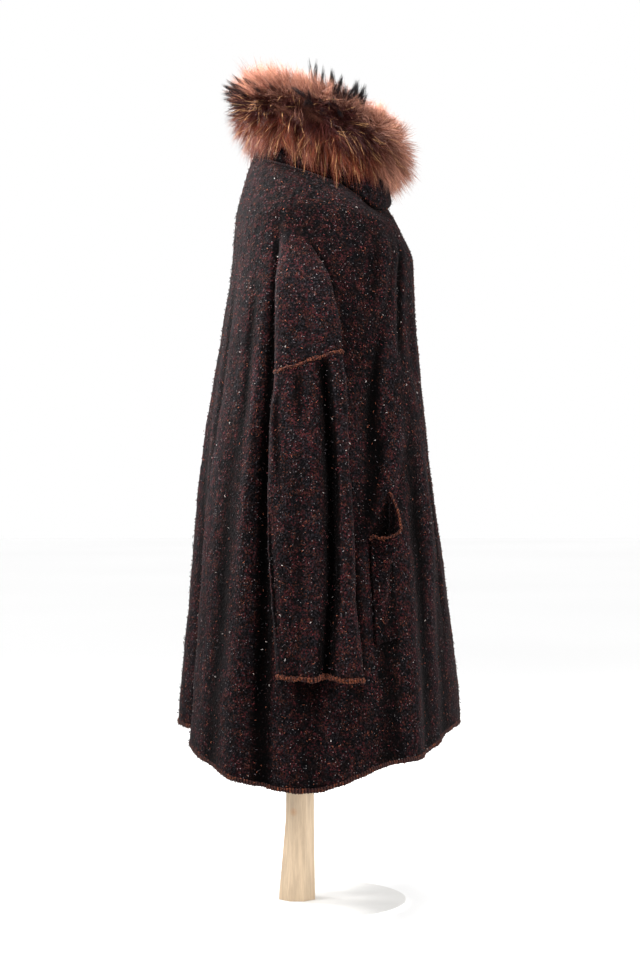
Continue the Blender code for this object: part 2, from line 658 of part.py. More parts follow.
def build_pockets(halves, collection):
    """A patch pocket on each front, with its slanted mouth pulled open."""
    columns = np.array(POCKET_COLUMNS)
    across = (columns - columns[0]) / (columns[-1] - columns[0])
    down = np.linspace(0, 1, POCKET_ROWS)
    for side, name in ((-1, "right"), (1, "left")):
        panel = halves[side][0]
        base = np.zeros((POCKET_ROWS, len(columns), 3))
        for i, (column, u) in enumerate(zip(columns, across)):
            mouth = POCKET_MOUTH_Z[0] + (POCKET_MOUTH_Z[1] - POCKET_MOUTH_Z[0]) * u
            bottom = POCKET_BOTTOM_Z[0] + (POCKET_BOTTOM_Z[1] - POCKET_BOTTOM_Z[0]) * u
            for j, v in enumerate(down):
                base[j, i] = panel_point(panel, column, mouth + (bottom - mouth) * v)
        step = np.gradient(base, axis=1)
        out = unit(np.stack([step[..., 1], -step[..., 0], np.zeros(step.shape[:2])], axis=-1) * -side)
        drift = np.clip(across[None, :] + POCKET_DRIFT * down[:, None], 0, 1)
        gape = 1 - np.abs(2 * drift - 1) ** POCKET_GAPE_POWERS[0]
        gape = gape * (1 - down[:, None]) ** POCKET_GAPE_POWERS[1]
        gape[:, 0] = gape[:, -1] = 0.0
        push = np.array([side * POCKET_GAPE[0], POCKET_GAPE[1], POCKET_GAPE[2]])
        inner = base + out * POCKET_LIFT + gape[..., None] * push
        outer = inner + out * WALL
        wall("pocket_" + name, outer, inner, KNIT, collection)
        up = np.array([0.0, 0.0, POCKET_EDGING_RISE[1]])
        away = unit(outer[0] - outer[1]) * POCKET_EDGING_RISE[0] + up
        sizes = {"height": POCKET_EDGING_HEIGHT, "lift": 2 * EDGING_LIFT}
        edging("pocket_edging_" + name, outer[0], inner[0], unit(away), collection, **sizes)


def build_edging(halves, collection):
    """The bar along the hem, round all three panels, and one down each front edge."""
    sides = []
    for side in (-1, 1):
        outer, inner = halves[side]
        body = list(range(VALLEY_BACK + 1)) + list(range(VALLEY_FRONT + 1, CENTRE_FRONT + 1))
        hem = [grid[-1, body] for grid in (outer, inner)]
        fall = unit(outer[-1, body] - outer[-2, body])
        to_centre = np.array([-side * (FRONT_EDGE_X - SEAM), 0.0, 0.0])
        hem = [np.concatenate([edge, edge[-1:] + to_centre]) for edge in hem]
        sides.append((*hem, np.concatenate([fall, fall[-1:]])))
        name = "front_edging_right" if side < 0 else "front_edging_left"
        away = np.tile(np.array([-side, 0.0, 0.0]), (HEM_ROW + 1, 1))
        edging(name, outer[:, -1], inner[:, -1], away, collection)
    right, left = sides
    joined = [np.concatenate([a[:0:-1], b]) for a, b in zip(right, left)]
    edging("hem_edging", *joined, collection)


def build_form(halves, collection):
    """The torso under the coat: its shoulders carry the coat, and its neck rises into the collar."""
    columns = np.arange(0, CENTRE_FRONT + 1, 2)
    angle = column_angle(columns, float(SHOULDER_ROW))
    angle[-1] = math.pi
    angle = np.concatenate([angle, -angle[-2:0:-1]])
    rings = []
    for height, radius in FORM_NECK:
        y = NECK_CENTRE_Y + radius * np.cos(angle)
        rings.append(np.stack([radius * np.sin(angle), y, np.full(len(angle), height)], axis=-1))
    for row, side_gap, middle_gap in FORM_SHOULDERS:
        ring = []
        for side, order in ((1, columns), (-1, columns[-2:0:-1])):
            outer, inner = halves[side]
            into = unit(inner[row, order] - outer[row, order])
            share = np.sin(column_angle(order, float(SHOULDER_ROW)))[:, None] ** 2
            ring.append(inner[row, order] + into * (side_gap * share + middle_gap * (1 - share)))
        ring = np.concatenate(ring)
        ring[len(columns) - 1, 0] = 0.0
        rings.append(ring)
    for height, half, back, front in FORM_TORSO:
        reach = np.where(np.cos(angle) > 0, back - SIDE_Y, SIDE_Y - front)
        y = SIDE_Y + reach * np.cos(angle)
        rings.append(np.stack([half * np.sin(angle), y, np.full(len(angle), height)], axis=-1))
    loft("dress_form", rings, COVER, collection)


def build_stand(collection):
    """The post under the form, and the flat plate it stands on."""
    turn = 2 * math.pi * (np.arange(POST_SIDES) + 0.5) / POST_SIDES
    corner = 1 / math.cos(math.pi / POST_SIDES)
    rings = []
    for height, half, middle in POST:
        x, y = half * corner * np.sin(turn), middle + half * corner * np.cos(turn)
        rings.append(np.stack([x, y, np.full(POST_SIDES, height)], axis=-1))
    loft("post", rings, WOOD, collection)
    mesh = bmesh.new()
    bmesh.ops.create_cone(
        mesh, cap_ends=True, segments=BASE_SEGMENTS, radius1=BASE_RADIUS, radius2=BASE_RADIUS, depth=BASE_THICKNESS
    )
    bmesh.ops.translate(mesh, verts=mesh.verts, vec=(0.0, 0.0, BASE_THICKNESS / 2))
    rim = [edge for edge in mesh.edges if all(v.co.z > BASE_THICKNESS / 2 for v in edge.verts)]
    bmesh.ops.bevel(
        mesh, geom=rim, offset=BASE_BEVEL, segments=2, profile=0.5, affect="EDGES", material=-1
    )
    finish_object("base_plate", mesh, PLATE, collection)


def main():
    for old in list(bpy.data.objects):
        bpy.data.objects.remove(old)
    collection = bpy.data.collections.new("wool coat on a dress form")
    bpy.context.scene.collection.children.link(collection)
    halves = {side: half_grid(side) for side in (-1, 1)}
    build_body(halves, collection)
    build_sleeves(collection)
    build_collar(collection)
    build_pockets(halves, collection)
    build_edging(halves, collection)
    build_form(halves, collection)
    build_stand(collection)


main()
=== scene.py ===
"""The looks of a swing coat in bouclé knit, with a fur collar, on a limbless dress form.

The front faces -Y, the wearer's right side is -X, and the base stands on the floor at z = 0.
Angles run from the centre back (0) round each side to the centre front (pi).
"""

import json
import math

import bmesh
import bpy
import numpy as np
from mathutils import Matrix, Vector, noise

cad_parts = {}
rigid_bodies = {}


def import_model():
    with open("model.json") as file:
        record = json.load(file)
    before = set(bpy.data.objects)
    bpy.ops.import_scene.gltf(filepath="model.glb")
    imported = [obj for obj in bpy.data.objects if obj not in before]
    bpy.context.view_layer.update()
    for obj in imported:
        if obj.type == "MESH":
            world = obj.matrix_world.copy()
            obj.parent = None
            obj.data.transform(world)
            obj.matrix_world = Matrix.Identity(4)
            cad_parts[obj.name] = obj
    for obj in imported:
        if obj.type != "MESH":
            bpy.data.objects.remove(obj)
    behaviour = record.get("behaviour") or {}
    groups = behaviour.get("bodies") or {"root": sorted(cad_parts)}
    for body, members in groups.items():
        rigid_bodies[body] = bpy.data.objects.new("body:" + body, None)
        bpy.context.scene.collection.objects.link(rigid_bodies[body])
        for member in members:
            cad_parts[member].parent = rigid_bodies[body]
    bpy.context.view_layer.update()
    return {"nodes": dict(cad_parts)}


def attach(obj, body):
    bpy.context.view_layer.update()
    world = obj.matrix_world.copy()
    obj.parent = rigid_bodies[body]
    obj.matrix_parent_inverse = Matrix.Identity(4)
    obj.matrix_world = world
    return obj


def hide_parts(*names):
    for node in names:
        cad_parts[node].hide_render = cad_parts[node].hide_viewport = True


bl_info = {
    "name": "Bouclé coat",
    "version": (1, 0, 0),
    "blender": (4, 5, 0),
    "location": "3D View > Sidebar > Coat",
    "description": "Builds a knitted swing coat with a fur collar round its packed solids",
    "category": "Object",
}

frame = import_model()
BODY_NAME = "root"
SIDES = ((-1, "right"), (1, "left"))

# Rings of the coat, as its solids have them
NECK_HALF_WIDTH = 0.097
NECK_MIDDLE = (-0.0285, 1.0765)
NECK_REACH = (0.1005, 0.0355)
NECK_SAG_ANGLE = math.radians(141)
NECK_SAG_SPREAD = math.radians(21)
NECK_SAG_WIDEN = 0.30
NECK_SAG_DROP = 0.019
SHOULDER_Z = 1.018
SHOULDER_BACK_Z = 1.025
SHOULDER_FRONT_Z = 1.002
CROWN_LEAN = (0.60, 0.04)
CROWN_DROP = 0.43
ARMHOLE_Z = 0.7985
ARMHOLE_SLOPE = 0.322
ARMHOLE_GAP = 0.001
HEM_Z = 0.276
HEM_DROP = 0.061
HEM_CURVE_BACK = 1.7
HEM_SHELF_FRONT = 0.44
HEM_CURVE_FRONT = 16
SIDE_Y = -0.014
SIDE_STEP = 0.007
FULLNESS = 0.025
FRONT_EDGE_X = 0.0088

# Columns and rows of the cloth grid of half the coat
BACK_COLUMNS = 12
SHOULDER_COLUMNS = 12
FRONT_COLUMNS = 12
VALLEY_BACK = BACK_COLUMNS
CAP_TOP = BACK_COLUMNS + SHOULDER_COLUMNS // 2
VALLEY_FRONT = BACK_COLUMNS + SHOULDER_COLUMNS
CENTRE_FRONT = VALLEY_FRONT + FRONT_COLUMNS
SHOULDER_ROW = 4
ARMHOLE_ROW = 11
SIDE_ROW = 12
HEM_ROW = 22

# height, back y, front y, half width
BODY = (
    (0.190, 0.191, -0.249, 0.318),
    (0.270, 0.183, -0.241, 0.305),
    (0.333, 0.1785, -0.237, 0.292),
    (0.393, 0.1725, -0.2295, 0.280),
    (0.453, 0.1665, -0.2215, 0.268),
    (0.528, 0.1605, -0.2115, 0.255),
    (0.603, 0.1530, -0.1995, 0.243),
    (0.693, 0.1395, -0.1890, 0.229),
    (0.783, 0.1245, -0.1800, 0.214),
    (0.873, 0.1125, -0.1720, 0.204),
    (0.940, 0.1025, -0.1690, 0.192),
    (0.960, 0.1003, -0.1685, 0.188),
    (0.972, 0.0995, -0.1650, 0.185),
    (0.988, 0.0985, -0.1575, 0.180),
    (1.002, 0.0977, -0.1500, 0.176),
    (1.020, 0.0965, -0.1425, 0.169),
    (1.045, 0.0940, -0.1330, 0.158),
)

# height, valley y at the back, valley y at the front, back edge y, front edge y, thickness
DROPPED_SHOULDER = (
    (0.780, -0.0085, -0.0195, 0.033, -0.061, 0.046),
    (0.833, 0.0040, -0.0270, 0.033, -0.059, 0.044),
    (0.881, 0.0190, -0.0360, 0.033, -0.051, 0.039),
    (0.942, 0.0290, -0.0300, 0.033, -0.036, 0.028),
    (0.977, 0.0290, -0.0150, 0.031, -0.018, 0.018),
    (1.010, 0.0270, -0.0080, 0.028, -0.009, 0.008),
    (1.040, 0.0260, -0.0060, 0.026, -0.006, 0.000),
)
CAP_FORMED_BY = 0.110

# height, back edge y, front edge y, groove y, groove depth, gap to the body, thickness
SLEEVE = (
    (0.352, 0.028, -0.091, -0.037, 0.020, 0.006, 0.044),
    (0.410, 0.032, -0.085, -0.040, 0.025, 0.006, 0.046),
    (0.467, 0.036, -0.079, -0.044, 0.027, 0.005, 0.047),
    (0.542, 0.041, -0.078, -0.045, 0.028, 0.005, 0.047),
    (0.605, 0.042, -0.074, -0.044, 0.028, 0.005, 0.047),
    (0.654, 0.041, -0.070, -0.042, 0.027, 0.004, 0.047),
    (0.744, 0.039, -0.067, -0.037, 0.020, 0.003, 0.046),
    (0.780, 0.035, -0.063, -0.034, 0.010, 0.002, 0.046),
    (0.800, 0.033, -0.061, -0.033, 0.000, 0.001, 0.046),
)
CUFF_Z = 0.368
CUFF_SLOPE = 0.035
CUFF_GROOVE_RISE = 0.004
CUFF_MIDDLE_Y = -0.030
GROOVE_WIDTH = 0.0085

# side (0 is both), angle at the top and at the bottom, spread, height where it starts and is full, depth
FOLDS = (
    (0, 17, 17, 8.0, 0.780, 0.270, -0.035),
    (0, 36, 34, 7.0, 0.760, 0.300, -0.005),
    (0, 48, 46, 6.0, 0.800, 0.450, -0.007),
    (-1, 60, 60, 6.0, 0.880, 0.620, 0.006),
    (1, 62, 59, 6.0, 0.860, 0.600, 0.006),
    (0, 73, 71, 5.0, 0.760, 0.400, -0.006),
    (-1, 123, 121, 9.0, 0.860, 0.730, -0.010),
    (1, 121, 120, 8.0, 0.840, 0.700, -0.009),
    (-1, 143, 141, 5.5, 0.720, 0.500, -0.007),
    (1, 141, 139, 6.0, 0.740, 0.520, -0.007),
    (-1, 152, 153, 5.5, 0.900, 0.600, 0.007),
    (1, 153, 155, 6.0, 0.880, 0.560, 0.007),
    (0, 156, 153, 15.0, 0.640, 0.270, -0.027),
)
POCKET_RIDGE_ANGLES = (136, 120)
POCKET_RIDGE_HEIGHTS = (0.715, 0.555)
POCKET_RIDGE_SPREAD = 5.0
POCKET_RIDGE_DEPTH = 0.009
POCKET_RIDGE_ENDS = (-0.4, 1.2)
POCKET_RIDGE_FADES = ((-0.045, 0.02), (-0.03, 0.05))

# Creases laid over those folds
# side, angle at the top, height of the top, angle at the bottom, height of the bottom, spread, depth
CREASES = (
    (-1, 9, 0.93, 7, 0.52, 2.6, 0.0040),
    (-1, 27, 0.97, 25, 0.55, 3.2, -0.0050),
    (-1, 51, 0.95, 53, 0.66, 2.8, -0.0030),
    (-1, 67, 1.03, 68, 0.52, 3.2, -0.0110),
    (-1, 68, 0.76, 70, 0.22, 3.2, -0.0120),
    (-1, 60, 0.94, 61, 0.40, 3.0, 0.0028),
    (-1, 80, 0.66, 79, 0.24, 2.4, 0.0045),
    (-1, 100, 0.72, 98, 0.23, 3.0, 0.0055),
    (-1, 108, 0.60, 109, 0.28, 2.4, -0.0055),
    (-1, 131, 0.88, 117, 0.64, 2.6, -0.0040),
    (-1, 149, 1.00, 142, 0.78, 3.0, -0.0060),
    (-1, 138, 1.01, 128, 0.86, 2.8, 0.0045),
    (-1, 160, 0.97, 158, 0.60, 2.8, 0.0045),
    (-1, 169, 0.82, 166, 0.34, 2.4, -0.0045),
    (1, 6, 0.88, 8, 0.47, 2.8, 0.0040),
    (1, 26, 0.95, 28, 0.60, 3.0, -0.0045),
    (1, 54, 0.93, 52, 0.70, 3.0, -0.0050),
    (1, 66, 1.01, 69, 0.56, 3.2, -0.0105),
    (1, 69, 0.74, 69, 0.21, 3.2, -0.0115),
    (1, 60, 0.90, 60, 0.44, 3.0, 0.0050),
    (1, 81, 0.62, 80, 0.24, 2.6, 0.0050),
    (1, 99, 0.74, 97, 0.24, 2.8, 0.0050),
    (1, 109, 0.63, 107, 0.26, 2.6, -0.0050),
    (1, 133, 0.86, 119, 0.66, 2.8, -0.0045),
    (1, 147, 0.99, 143, 0.80, 2.8, -0.0055),
    (1, 161, 0.95, 160, 0.56, 2.6, 0.0040),
    (1, 168, 0.78, 168, 0.38, 2.6, -0.0040),
)
CREASE_FADE = 0.35

# Creases of the sleeves
# side, turn at the top, share of the length there, turn and share at the bottom, spread, depth
SLEEVE_CREASES = (
    (-1, 58, 0.02, 46, 0.42, 9, -0.0040),
    (-1, 70, 0.35, 62, 0.98, 8, -0.0045),
    (-1, 34, 0.30, 44, 0.86, 8, 0.0035),
    (-1, -52, 0.05, -44, 0.55, 9, -0.0040),
    (-1, -66, 0.45, -60, 1.00, 9, 0.0035),
    (-1, 14, 0.00, 8, 0.22, 9, -0.0045),
    (1, 60, 0.04, 50, 0.50, 9, -0.0040),
    (1, 66, 0.42, 70, 0.96, 8, -0.0040),
    (1, 36, 0.22, 40, 0.78, 9, 0.0035),
    (1, -50, 0.06, -48, 0.48, 9, -0.0045),
    (1, -64, 0.50, -58, 1.00, 9, 0.0035),
    (1, 12, 0.00, 10, 0.25, 9, -0.0040),
)

# Patch pockets
POCKET_COLUMN_ENDS = (27.5, 29.0)
POCKET_MOUTH_Z = (0.548, 0.612)
POCKET_BOTTOM_Z = (0.405, 0.412)
POCKET_LIFT = 0.0022
POCKET_GAPE = (0.016, -0.027, -0.021)
POCKET_DRIFT = 0.35
POCKET_GAPE_CURVE = (1.4, 1.6)
POCKET_GAPE_ENDS = 0.12
POCKET_START_ROW = 17.0
SEARCH_ROUNDS = 5
GRID_NUDGE = 0.1

# Collar stand and the fur that wraps it
COLLAR_TOP_HALF_WIDTH = 0.092
COLLAR_TOP_MIDDLE = (-0.033, 1.160)
COLLAR_TOP_REACH = (0.082, 0.026)
COLLAR_BULGE = 0.012
COLLAR_SAG = 0.017
COLLAR_SEAT = 0.0006
COLLAR_FRONT = (math.radians(108), math.radians(150))
COLLAR_PUFF_CURVE = 0.6
COLLAR_GAP_ANGLE = math.radians(0.25)
FUR_OUTWARD = 0.054
FUR_INWARD = 0.030
FUR_RISE = 0.068
FUR_MIDDLE = (0.012, -0.003)
FUR_TILT = 0.27
PELT_SHARE = 0.40
PELT_TURNS = (math.radians(-74), math.radians(200))

# Fineness of the cloth: steps for each column and row of the grid
BODY_STEPS = 6
CAP_STEPS = 4
ROW_STEPS = (7, 7, 10)
SLEEVE_STEPS = (76, 92)
COLLAR_STEPS = (140, 26)
POCKET_STEPS = (28, 36)
WELD = 0.00005
CALM_BORDER = 5

# Painted light and shade of the cloth: for its folds, steps to each side and the height that counts as flat
# and as full; then painted shade in the pockets and along the neck
FOLD_REACH = 5
FOLD_MIDDLE = 0.0008
FOLD_RANGE = 0.0070
POCKET_SHADE = 0.06
NECK_SHADE = 0.02
NECK_SHADE_ROWS = 0.32
COLLAR_SHADE_REACH = 0.12
POCKET_SHADE_SIDE = (-0.04, 0.06)
POCKET_SHADE_MOUTH = (-0.006, 0.002)

# Edging and seams: points along each line, and where the lines run
LINE_POINTS = {"hem": 160, "front": 300, "cuff": 240, "pocket": 80, "neck": 240, "armhole": 120}
HEM_LINE_START = 0.001
HEM_LINE_END = 0.9
HEM_STEPS = (0.05, 0.2)
CUFF_LINE_ABOVE = 0.96
POCKET_LINE_BELOW = 0.05
POCKET_EDGING_LEAN = (0.4, 0.6)
SEAM_BESIDE = 0.03
ARMHOLE_SEAM_TURN = 0.66 * math.pi
ARMHOLE_MIDDLE = (0.23, -0.014)
FRONT_EDGING_MORE = 0.0006
HEM_EDGING_LIFT = -0.0012
# share of the edging's height, share of its thickness, how far the stitches stray
HEM_EDGING = (1.0, 0.75, 0.0003)
CUFF_EDGING = (0.9, 1.0, 0.0008)
POCKET_EDGING = (0.52, 0.7, 0.0009)
# height, thickness, how far the stitches stray
NECK_SEAM = (0.0060, 0.0022, 0.0)
ARMHOLE_SEAM = (0.0040, 0.0034, 0.0007)

# One bar of stitches: faces round it, slant, squareness, and its thickness between and on the ribs
BAR_SIDES = 10
BAR_SLANT = 0.35
BAR_SQUARENESS = 0.8
BAR_GROOVE = (0.70, 0.34)

# Distance between the loops that the knit's finish shows
LOOP_SPACING = 0.0036

# Yarn loops: colour and share of the loops
LOOP_TONES = (
    ((0.0075, 0.0060, 0.0070), 0.40),
    ((0.024, 0.012, 0.011), 0.18),
    ((0.080, 0.014, 0.016), 0.16),
    ((0.140, 0.040, 0.021), 0.12),
    ((0.050, 0.040, 0.045), 0.12),
    ((0.360, 0.320, 0.300), 0.02),
)
EDGING_LOOPS = 4200
EDGING_LOOP_SHARES = {"cuff": 0.12, "hem": 0.30, "front": 0.08, "pocket": 0.05, "armhole": 0.10}
EDGING_LOOP_TONES = (
    ((0.085, 0.024, 0.014), 0.46),
    ((0.014, 0.008, 0.009), 0.40),
    ((0.150, 0.050, 0.027), 0.14),
)

# Tones of the fur from root to tip: the pale top and rim, the dark stripe, the warm lower side, black tufts
FUR_PALE = ((0.100, 0.035, 0.022), (0.350, 0.145, 0.095), (0.500, 0.265, 0.195))
FUR_DARK = ((0.055, 0.012, 0.009), (0.034, 0.0075, 0.0065), (0.025, 0.0060, 0.0060))
FUR_WARM = ((0.030, 0.007, 0.004), (0.082, 0.016, 0.007), (0.140, 0.031, 0.013))
FUR_BLACK = ((0.050, 0.022, 0.018), (0.016, 0.010, 0.011), (0.009, 0.008, 0.009), (0.009, 0.008, 0.009))
FUR_PALENESS = 0.92
FUR_GOLD = (0.720, 0.380, 0.165)
GOLD_SHARE = 0.06
# angle round the neck, height of the dark stripe as a turn, half its width, how dark it is there
STRIPE = (
    (0, -6, 14, 1.0),
    (45, -3, 24, 1.0),
    (90, -2, 36, 1.0),
    (120, -10, 34, 0.95),
    (145, -8, 22, 0.40),
    (180, -2, 13, 0.10),
)
# side, angle round the neck, turn, spread of each, tufts, shortest and longest reach
TUFTS = (
    (-1, 103, 64, 4, 12, 9, 1.06, 1.18),
    (-1, 115, 60, 4, 12, 8, 1.06, 1.18),
    (-1, 8, 10, 16, 13, 10, 1.00, 1.10),
    (-1, 87, 78, 6, 6, 4, 1.14, 1.26),
    (-1, 66, 14, 28, 13, 14, 0.90, 1.00),
    (1, 92, 64, 6, 14, 8, 1.04, 1.15),
    (1, 124, 54, 6, 14, 9, 1.02, 1.13),
    (1, 20, 15, 17, 13, 10, 1.00, 1.09),
    (1, 73, 76, 7, 7, 4, 1.12, 1.22),
    (1, 66, 12, 26, 14, 14, 0.90, 1.00),
)

# Where the fur is shorter, crosses at its ends and hangs
FUR_FRONT_SHORTER = 0.20
FUR_SHORT_ANGLE = math.radians(135)
FUR_SHORT_TURN = math.radians(70)
FUR_CROSS = 0.11
FUR_HANG = 0.025
FUR_HANG_END = 0.30

# How the fur grows: places along a strand, its taper, how locks lean, and the turns they grow at
FUR_SEED = 5
STRAND_CUTS = (0.0, 0.36, 0.70, 1.0)
STRAND_TAPER = 0.55
LOCK_LEAN = (0.10, 0.16)
LOCK_LENGTH_SPREAD = 0.07
LOCK_TURNS = (PELT_TURNS[0] - 0.15, PELT_TURNS[1] + 0.05)
HAIR_TURNS = (PELT_TURNS[0] - 0.25, PELT_TURNS[1] + 0.1)
FUR_SKIN_TONE = (0.075, 0.028, 0.018)
TUFT_ROOT = 0.62
# piece, setting, spread, gathering, shortest and longest, droop, range of brightness, range of width
HAIR_LAYERS = (
    ("fur_underfur", "under_count", 0.075, 0.35, 0.66, 0.86, 0.002, (0.65, 1.05), (0.8, 1.2)),
    ("fur_guard_hair", "guard_count", 0.060, 0.72, 0.82, 1.04, 0.005, (0.7, 1.35), (0.6, 1.0)),
)

# Camera at the photograph's side view: it looks along +X, level
CAMERA_PLACE = (-3.2, -0.030, 0.633)
CAMERA_LENS = 80.0
CAMERA_SENSOR = 36.0
FLOOR_SIZE = 40.0

# Lights: name, setting, place, target, width, spread in degrees
LIGHTS = (
    ("key", "key", (-0.95, 1.6, 2.2), (0.0, 0.05, 1.35), 1.0, 56),
    ("far key", "key", (0.95, 1.6, 2.2), (0.0, 0.05, 1.35), 1.0, 56),
    ("top", "top", (-0.3, 0.0, 2.7), (0.0, 0.0, 1.0), 1.2, 90),
    ("fill", "fill", (-1.9, -2.6, 1.7), (0.0, 0.0, 1.15), 1.4, 75),
)


class CoatSizes(bpy.types.PropertyGroup):
    """Sizes of the cloth, its stitches and loops."""

    wall: bpy.props.FloatProperty(
        name="Cloth", description="Thickness of the knit", default=0.0024, unit="LENGTH", min=0.001)
    lump: bpy.props.FloatProperty(
        name="Lump depth", description="Height of the knit's bumps", default=0.0009, unit="LENGTH")
    lump_size: bpy.props.FloatProperty(
        name="Lump size", description="Distance between the bumps", default=0.0085, unit="LENGTH")
    soft: bpy.props.FloatProperty(
        name="Softness", description="Height of the cloth's slow waves", default=0.0016, unit="LENGTH")
    soft_size: bpy.props.FloatProperty(
        name="Wave length", description="Length of the slow waves", default=0.060, unit="LENGTH")
    stitch: bpy.props.FloatProperty(
        name="Stitch", description="Distance between the edging's stitches", default=0.0043, unit="LENGTH")
    edging_height: bpy.props.FloatProperty(
        name="Edging height", description="Height of the edging", default=0.0078, unit="LENGTH")
    edging_thickness: bpy.props.FloatProperty(
        name="Edging thickness", description="Thickness of the edging", default=0.0056, unit="LENGTH")
    loop_count: bpy.props.IntProperty(
        name="Loops", description="Yarn loops on the whole coat", default=13000, min=0, max=16000)
    loop_size: bpy.props.FloatProperty(
        name="Loop size", description="Half the width of a yarn loop", default=0.0017, unit="LENGTH")


class FurSizes(bpy.types.PropertyGroup):
    """How the fur is built up."""

    under_count: bpy.props.IntProperty(
        name="Underfur", description="Strands of underfur", default=26000, min=100, max=38000)
    guard_count: bpy.props.IntProperty(
        name="Guard hair", description="Long strands", default=34000, min=100, max=38000)
    tuft_count: bpy.props.IntProperty(
        name="Dark tips", description="Dark hairs in tufts", default=3600, min=100, max=38000)
    lock_count: bpy.props.IntProperty(
        name="Locks", description="Locks that the strands gather into", default=1500, min=10)
    strand: bpy.props.FloatProperty(
        name="Strand", description="Width of a strand at its root", default=0.0007, unit="LENGTH")


class CoatColours(bpy.types.PropertyGroup):
    """Colours of the yarns and the stand."""

    charcoal: bpy.props.FloatVectorProperty(
        name="Charcoal", description="Ground yarn", subtype="COLOR", default=(0.0048, 0.0042, 0.0052))
    brown: bpy.props.FloatVectorProperty(
        name="Brown", description="Second ground yarn", subtype="COLOR", default=(0.0105, 0.0058, 0.0058))
    burgundy: bpy.props.FloatVectorProperty(
        name="Burgundy", description="Red flecks", subtype="COLOR", default=(0.080, 0.019, 0.022))
    rust: bpy.props.FloatVectorProperty(
        name="Rust", description="Orange flecks", subtype="COLOR", default=(0.120, 0.038, 0.025))
    edging: bpy.props.FloatVectorProperty(
        name="Edging", description="Crocheted edging", subtype="COLOR", default=(0.125, 0.036, 0.018))
    dark_edging: bpy.props.FloatVectorProperty(
        name="Dark edging", description="Dark yarn worked into the edging", subtype="COLOR",
        default=(0.020, 0.009, 0.009))
    # Mohair: the halo's own grey, laid on more thickly on fold ridges as a painted highlight.
    mohair: bpy.props.FloatVectorProperty(
        name="Mohair", description="Grey halo", subtype="COLOR", default=(0.054, 0.047, 0.056))
    # Metallic thread: its specks are painted glints, a bright colour standing in for the thread's
    # reflections.
    metal_glint: bpy.props.FloatVectorProperty(
        name="Metal thread", description="Bright specks", subtype="COLOR", default=(0.66, 0.62, 0.62))
    form: bpy.props.FloatVectorProperty(
        name="Form cover", description="Cloth of the dress form", subtype="COLOR", default=(0.76, 0.72, 0.65))
    wood: bpy.props.FloatVectorProperty(
        name="Wood", description="Post of the stand", subtype="COLOR", default=(0.475, 0.355, 0.235))
    plate: bpy.props.FloatVectorProperty(
        name="Plate", description="Base of the stand", subtype="COLOR", default=(0.80, 0.79, 0.77))


class StageLight(bpy.types.PropertyGroup):
    """The studio round the coat."""

    ambient: bpy.props.FloatProperty(
        name="Ambient", description="Strength of the white surroundings", default=1.0)
    key: bpy.props.FloatProperty(
        name="Key", description="Light from behind the wearer, at the left of the picture", default=33.0,
        unit="POWER")
    top: bpy.props.FloatProperty(
        name="Top", description="Light from above", default=14.0, unit="POWER")
    fill: bpy.props.FloatProperty(
        name="Fill", description="Light from the front of the coat", default=30.0, unit="POWER")


def smooth(value, low, high):
    """0 below low, 1 above high, with a soft step between."""
    t = np.clip((value - low) / (high - low), 0.0, 1.0)
    return t * t * (3.0 - 2.0 * t)


def hump(value, centre, spread):
    return np.exp(-(((value - centre) / spread) ** 2))


def unit(vectors):
    return vectors / np.maximum(np.linalg.norm(vectors, axis=-1, keepdims=True), 1e-9)


def stack(*parts):
    return np.stack(np.broadcast_arrays(*parts), axis=-1)


def read(table, column, height):
    """One column of a table at a height, as a smooth curve through its rows."""
    rows = sorted(table)
    keys = np.array([row[0] for row in rows])
    values = np.array([row[column] for row in rows])
    slopes = np.gradient(values, keys)
    low = np.clip(np.searchsorted(keys, height) - 1, 0, len(keys) - 2)
    span = keys[low + 1] - keys[low]
    t = np.clip((height - keys[low]) / span, 0.0, 1.0)
    start = (2 * t**3 - 3 * t**2 + 1) * values[low] + (t**3 - 2 * t**2 + t) * span * slopes[low]
    end = (3 * t**2 - 2 * t**3) * values[low + 1] + (t**3 - t**2) * span * slopes[low + 1]
    return start + end


def folds(angle, height, side):
    """How far the folds push the cloth out, at an angle and a height."""
    degrees = np.degrees(angle)
    out = np.zeros(np.broadcast(angle, height).shape)
    for where, top_angle, low_angle, spread, start, full, depth in FOLDS:
        if where in (0, side):
            centre = top_angle + (low_angle - top_angle) * np.clip((start - height) / (start - HEM_Z), 0, 1)
            out = out + depth * hump(degrees, centre, spread) * smooth(-height, -start, -full)
    high, low = POCKET_RIDGE_HEIGHTS
    along = np.clip((high - height) / (high - low), *POCKET_RIDGE_ENDS)
    foot, head = POCKET_RIDGE_FADES
    centre = POCKET_RIDGE_ANGLES[0] + (POCKET_RIDGE_ANGLES[1] - POCKET_RIDGE_ANGLES[0]) * along
    fade = smooth(height, low + foot[0], low + foot[1]) * smooth(-height, -high + head[0], -high + head[1])
    out = out + POCKET_RIDGE_DEPTH * hump(degrees, centre, POCKET_RIDGE_SPREAD) * fade
    for where, top_angle, top, low_angle, bottom, spread, depth in CREASES:
        if where == side:
            along = (top - height) / (top - bottom)
            centre = top_angle + (low_angle - top_angle) * along
            fade = smooth(along, 0, CREASE_FADE) * smooth(1 - along, 0, CREASE_FADE)
            out = out + depth * hump(degrees, centre, spread) * fade
    return out


def section(angle, height, side):
    """A point of the coat's body on the section at this height."""
    back, front, half = (read(BODY, column, height) for column in (1, 2, 3))
    reach = np.where(np.cos(angle) > 0, back - SIDE_Y, SIDE_Y - front)
    full = 1.0 + FULLNESS * np.sin(2 * angle) ** 2
    out = folds(angle, height, side)
    x = half * np.sin(angle) * full + out * np.sin(angle)
    y = SIDE_Y + reach * np.cos(angle) * full + out * np.cos(angle)
    return stack(side * x, y, height)


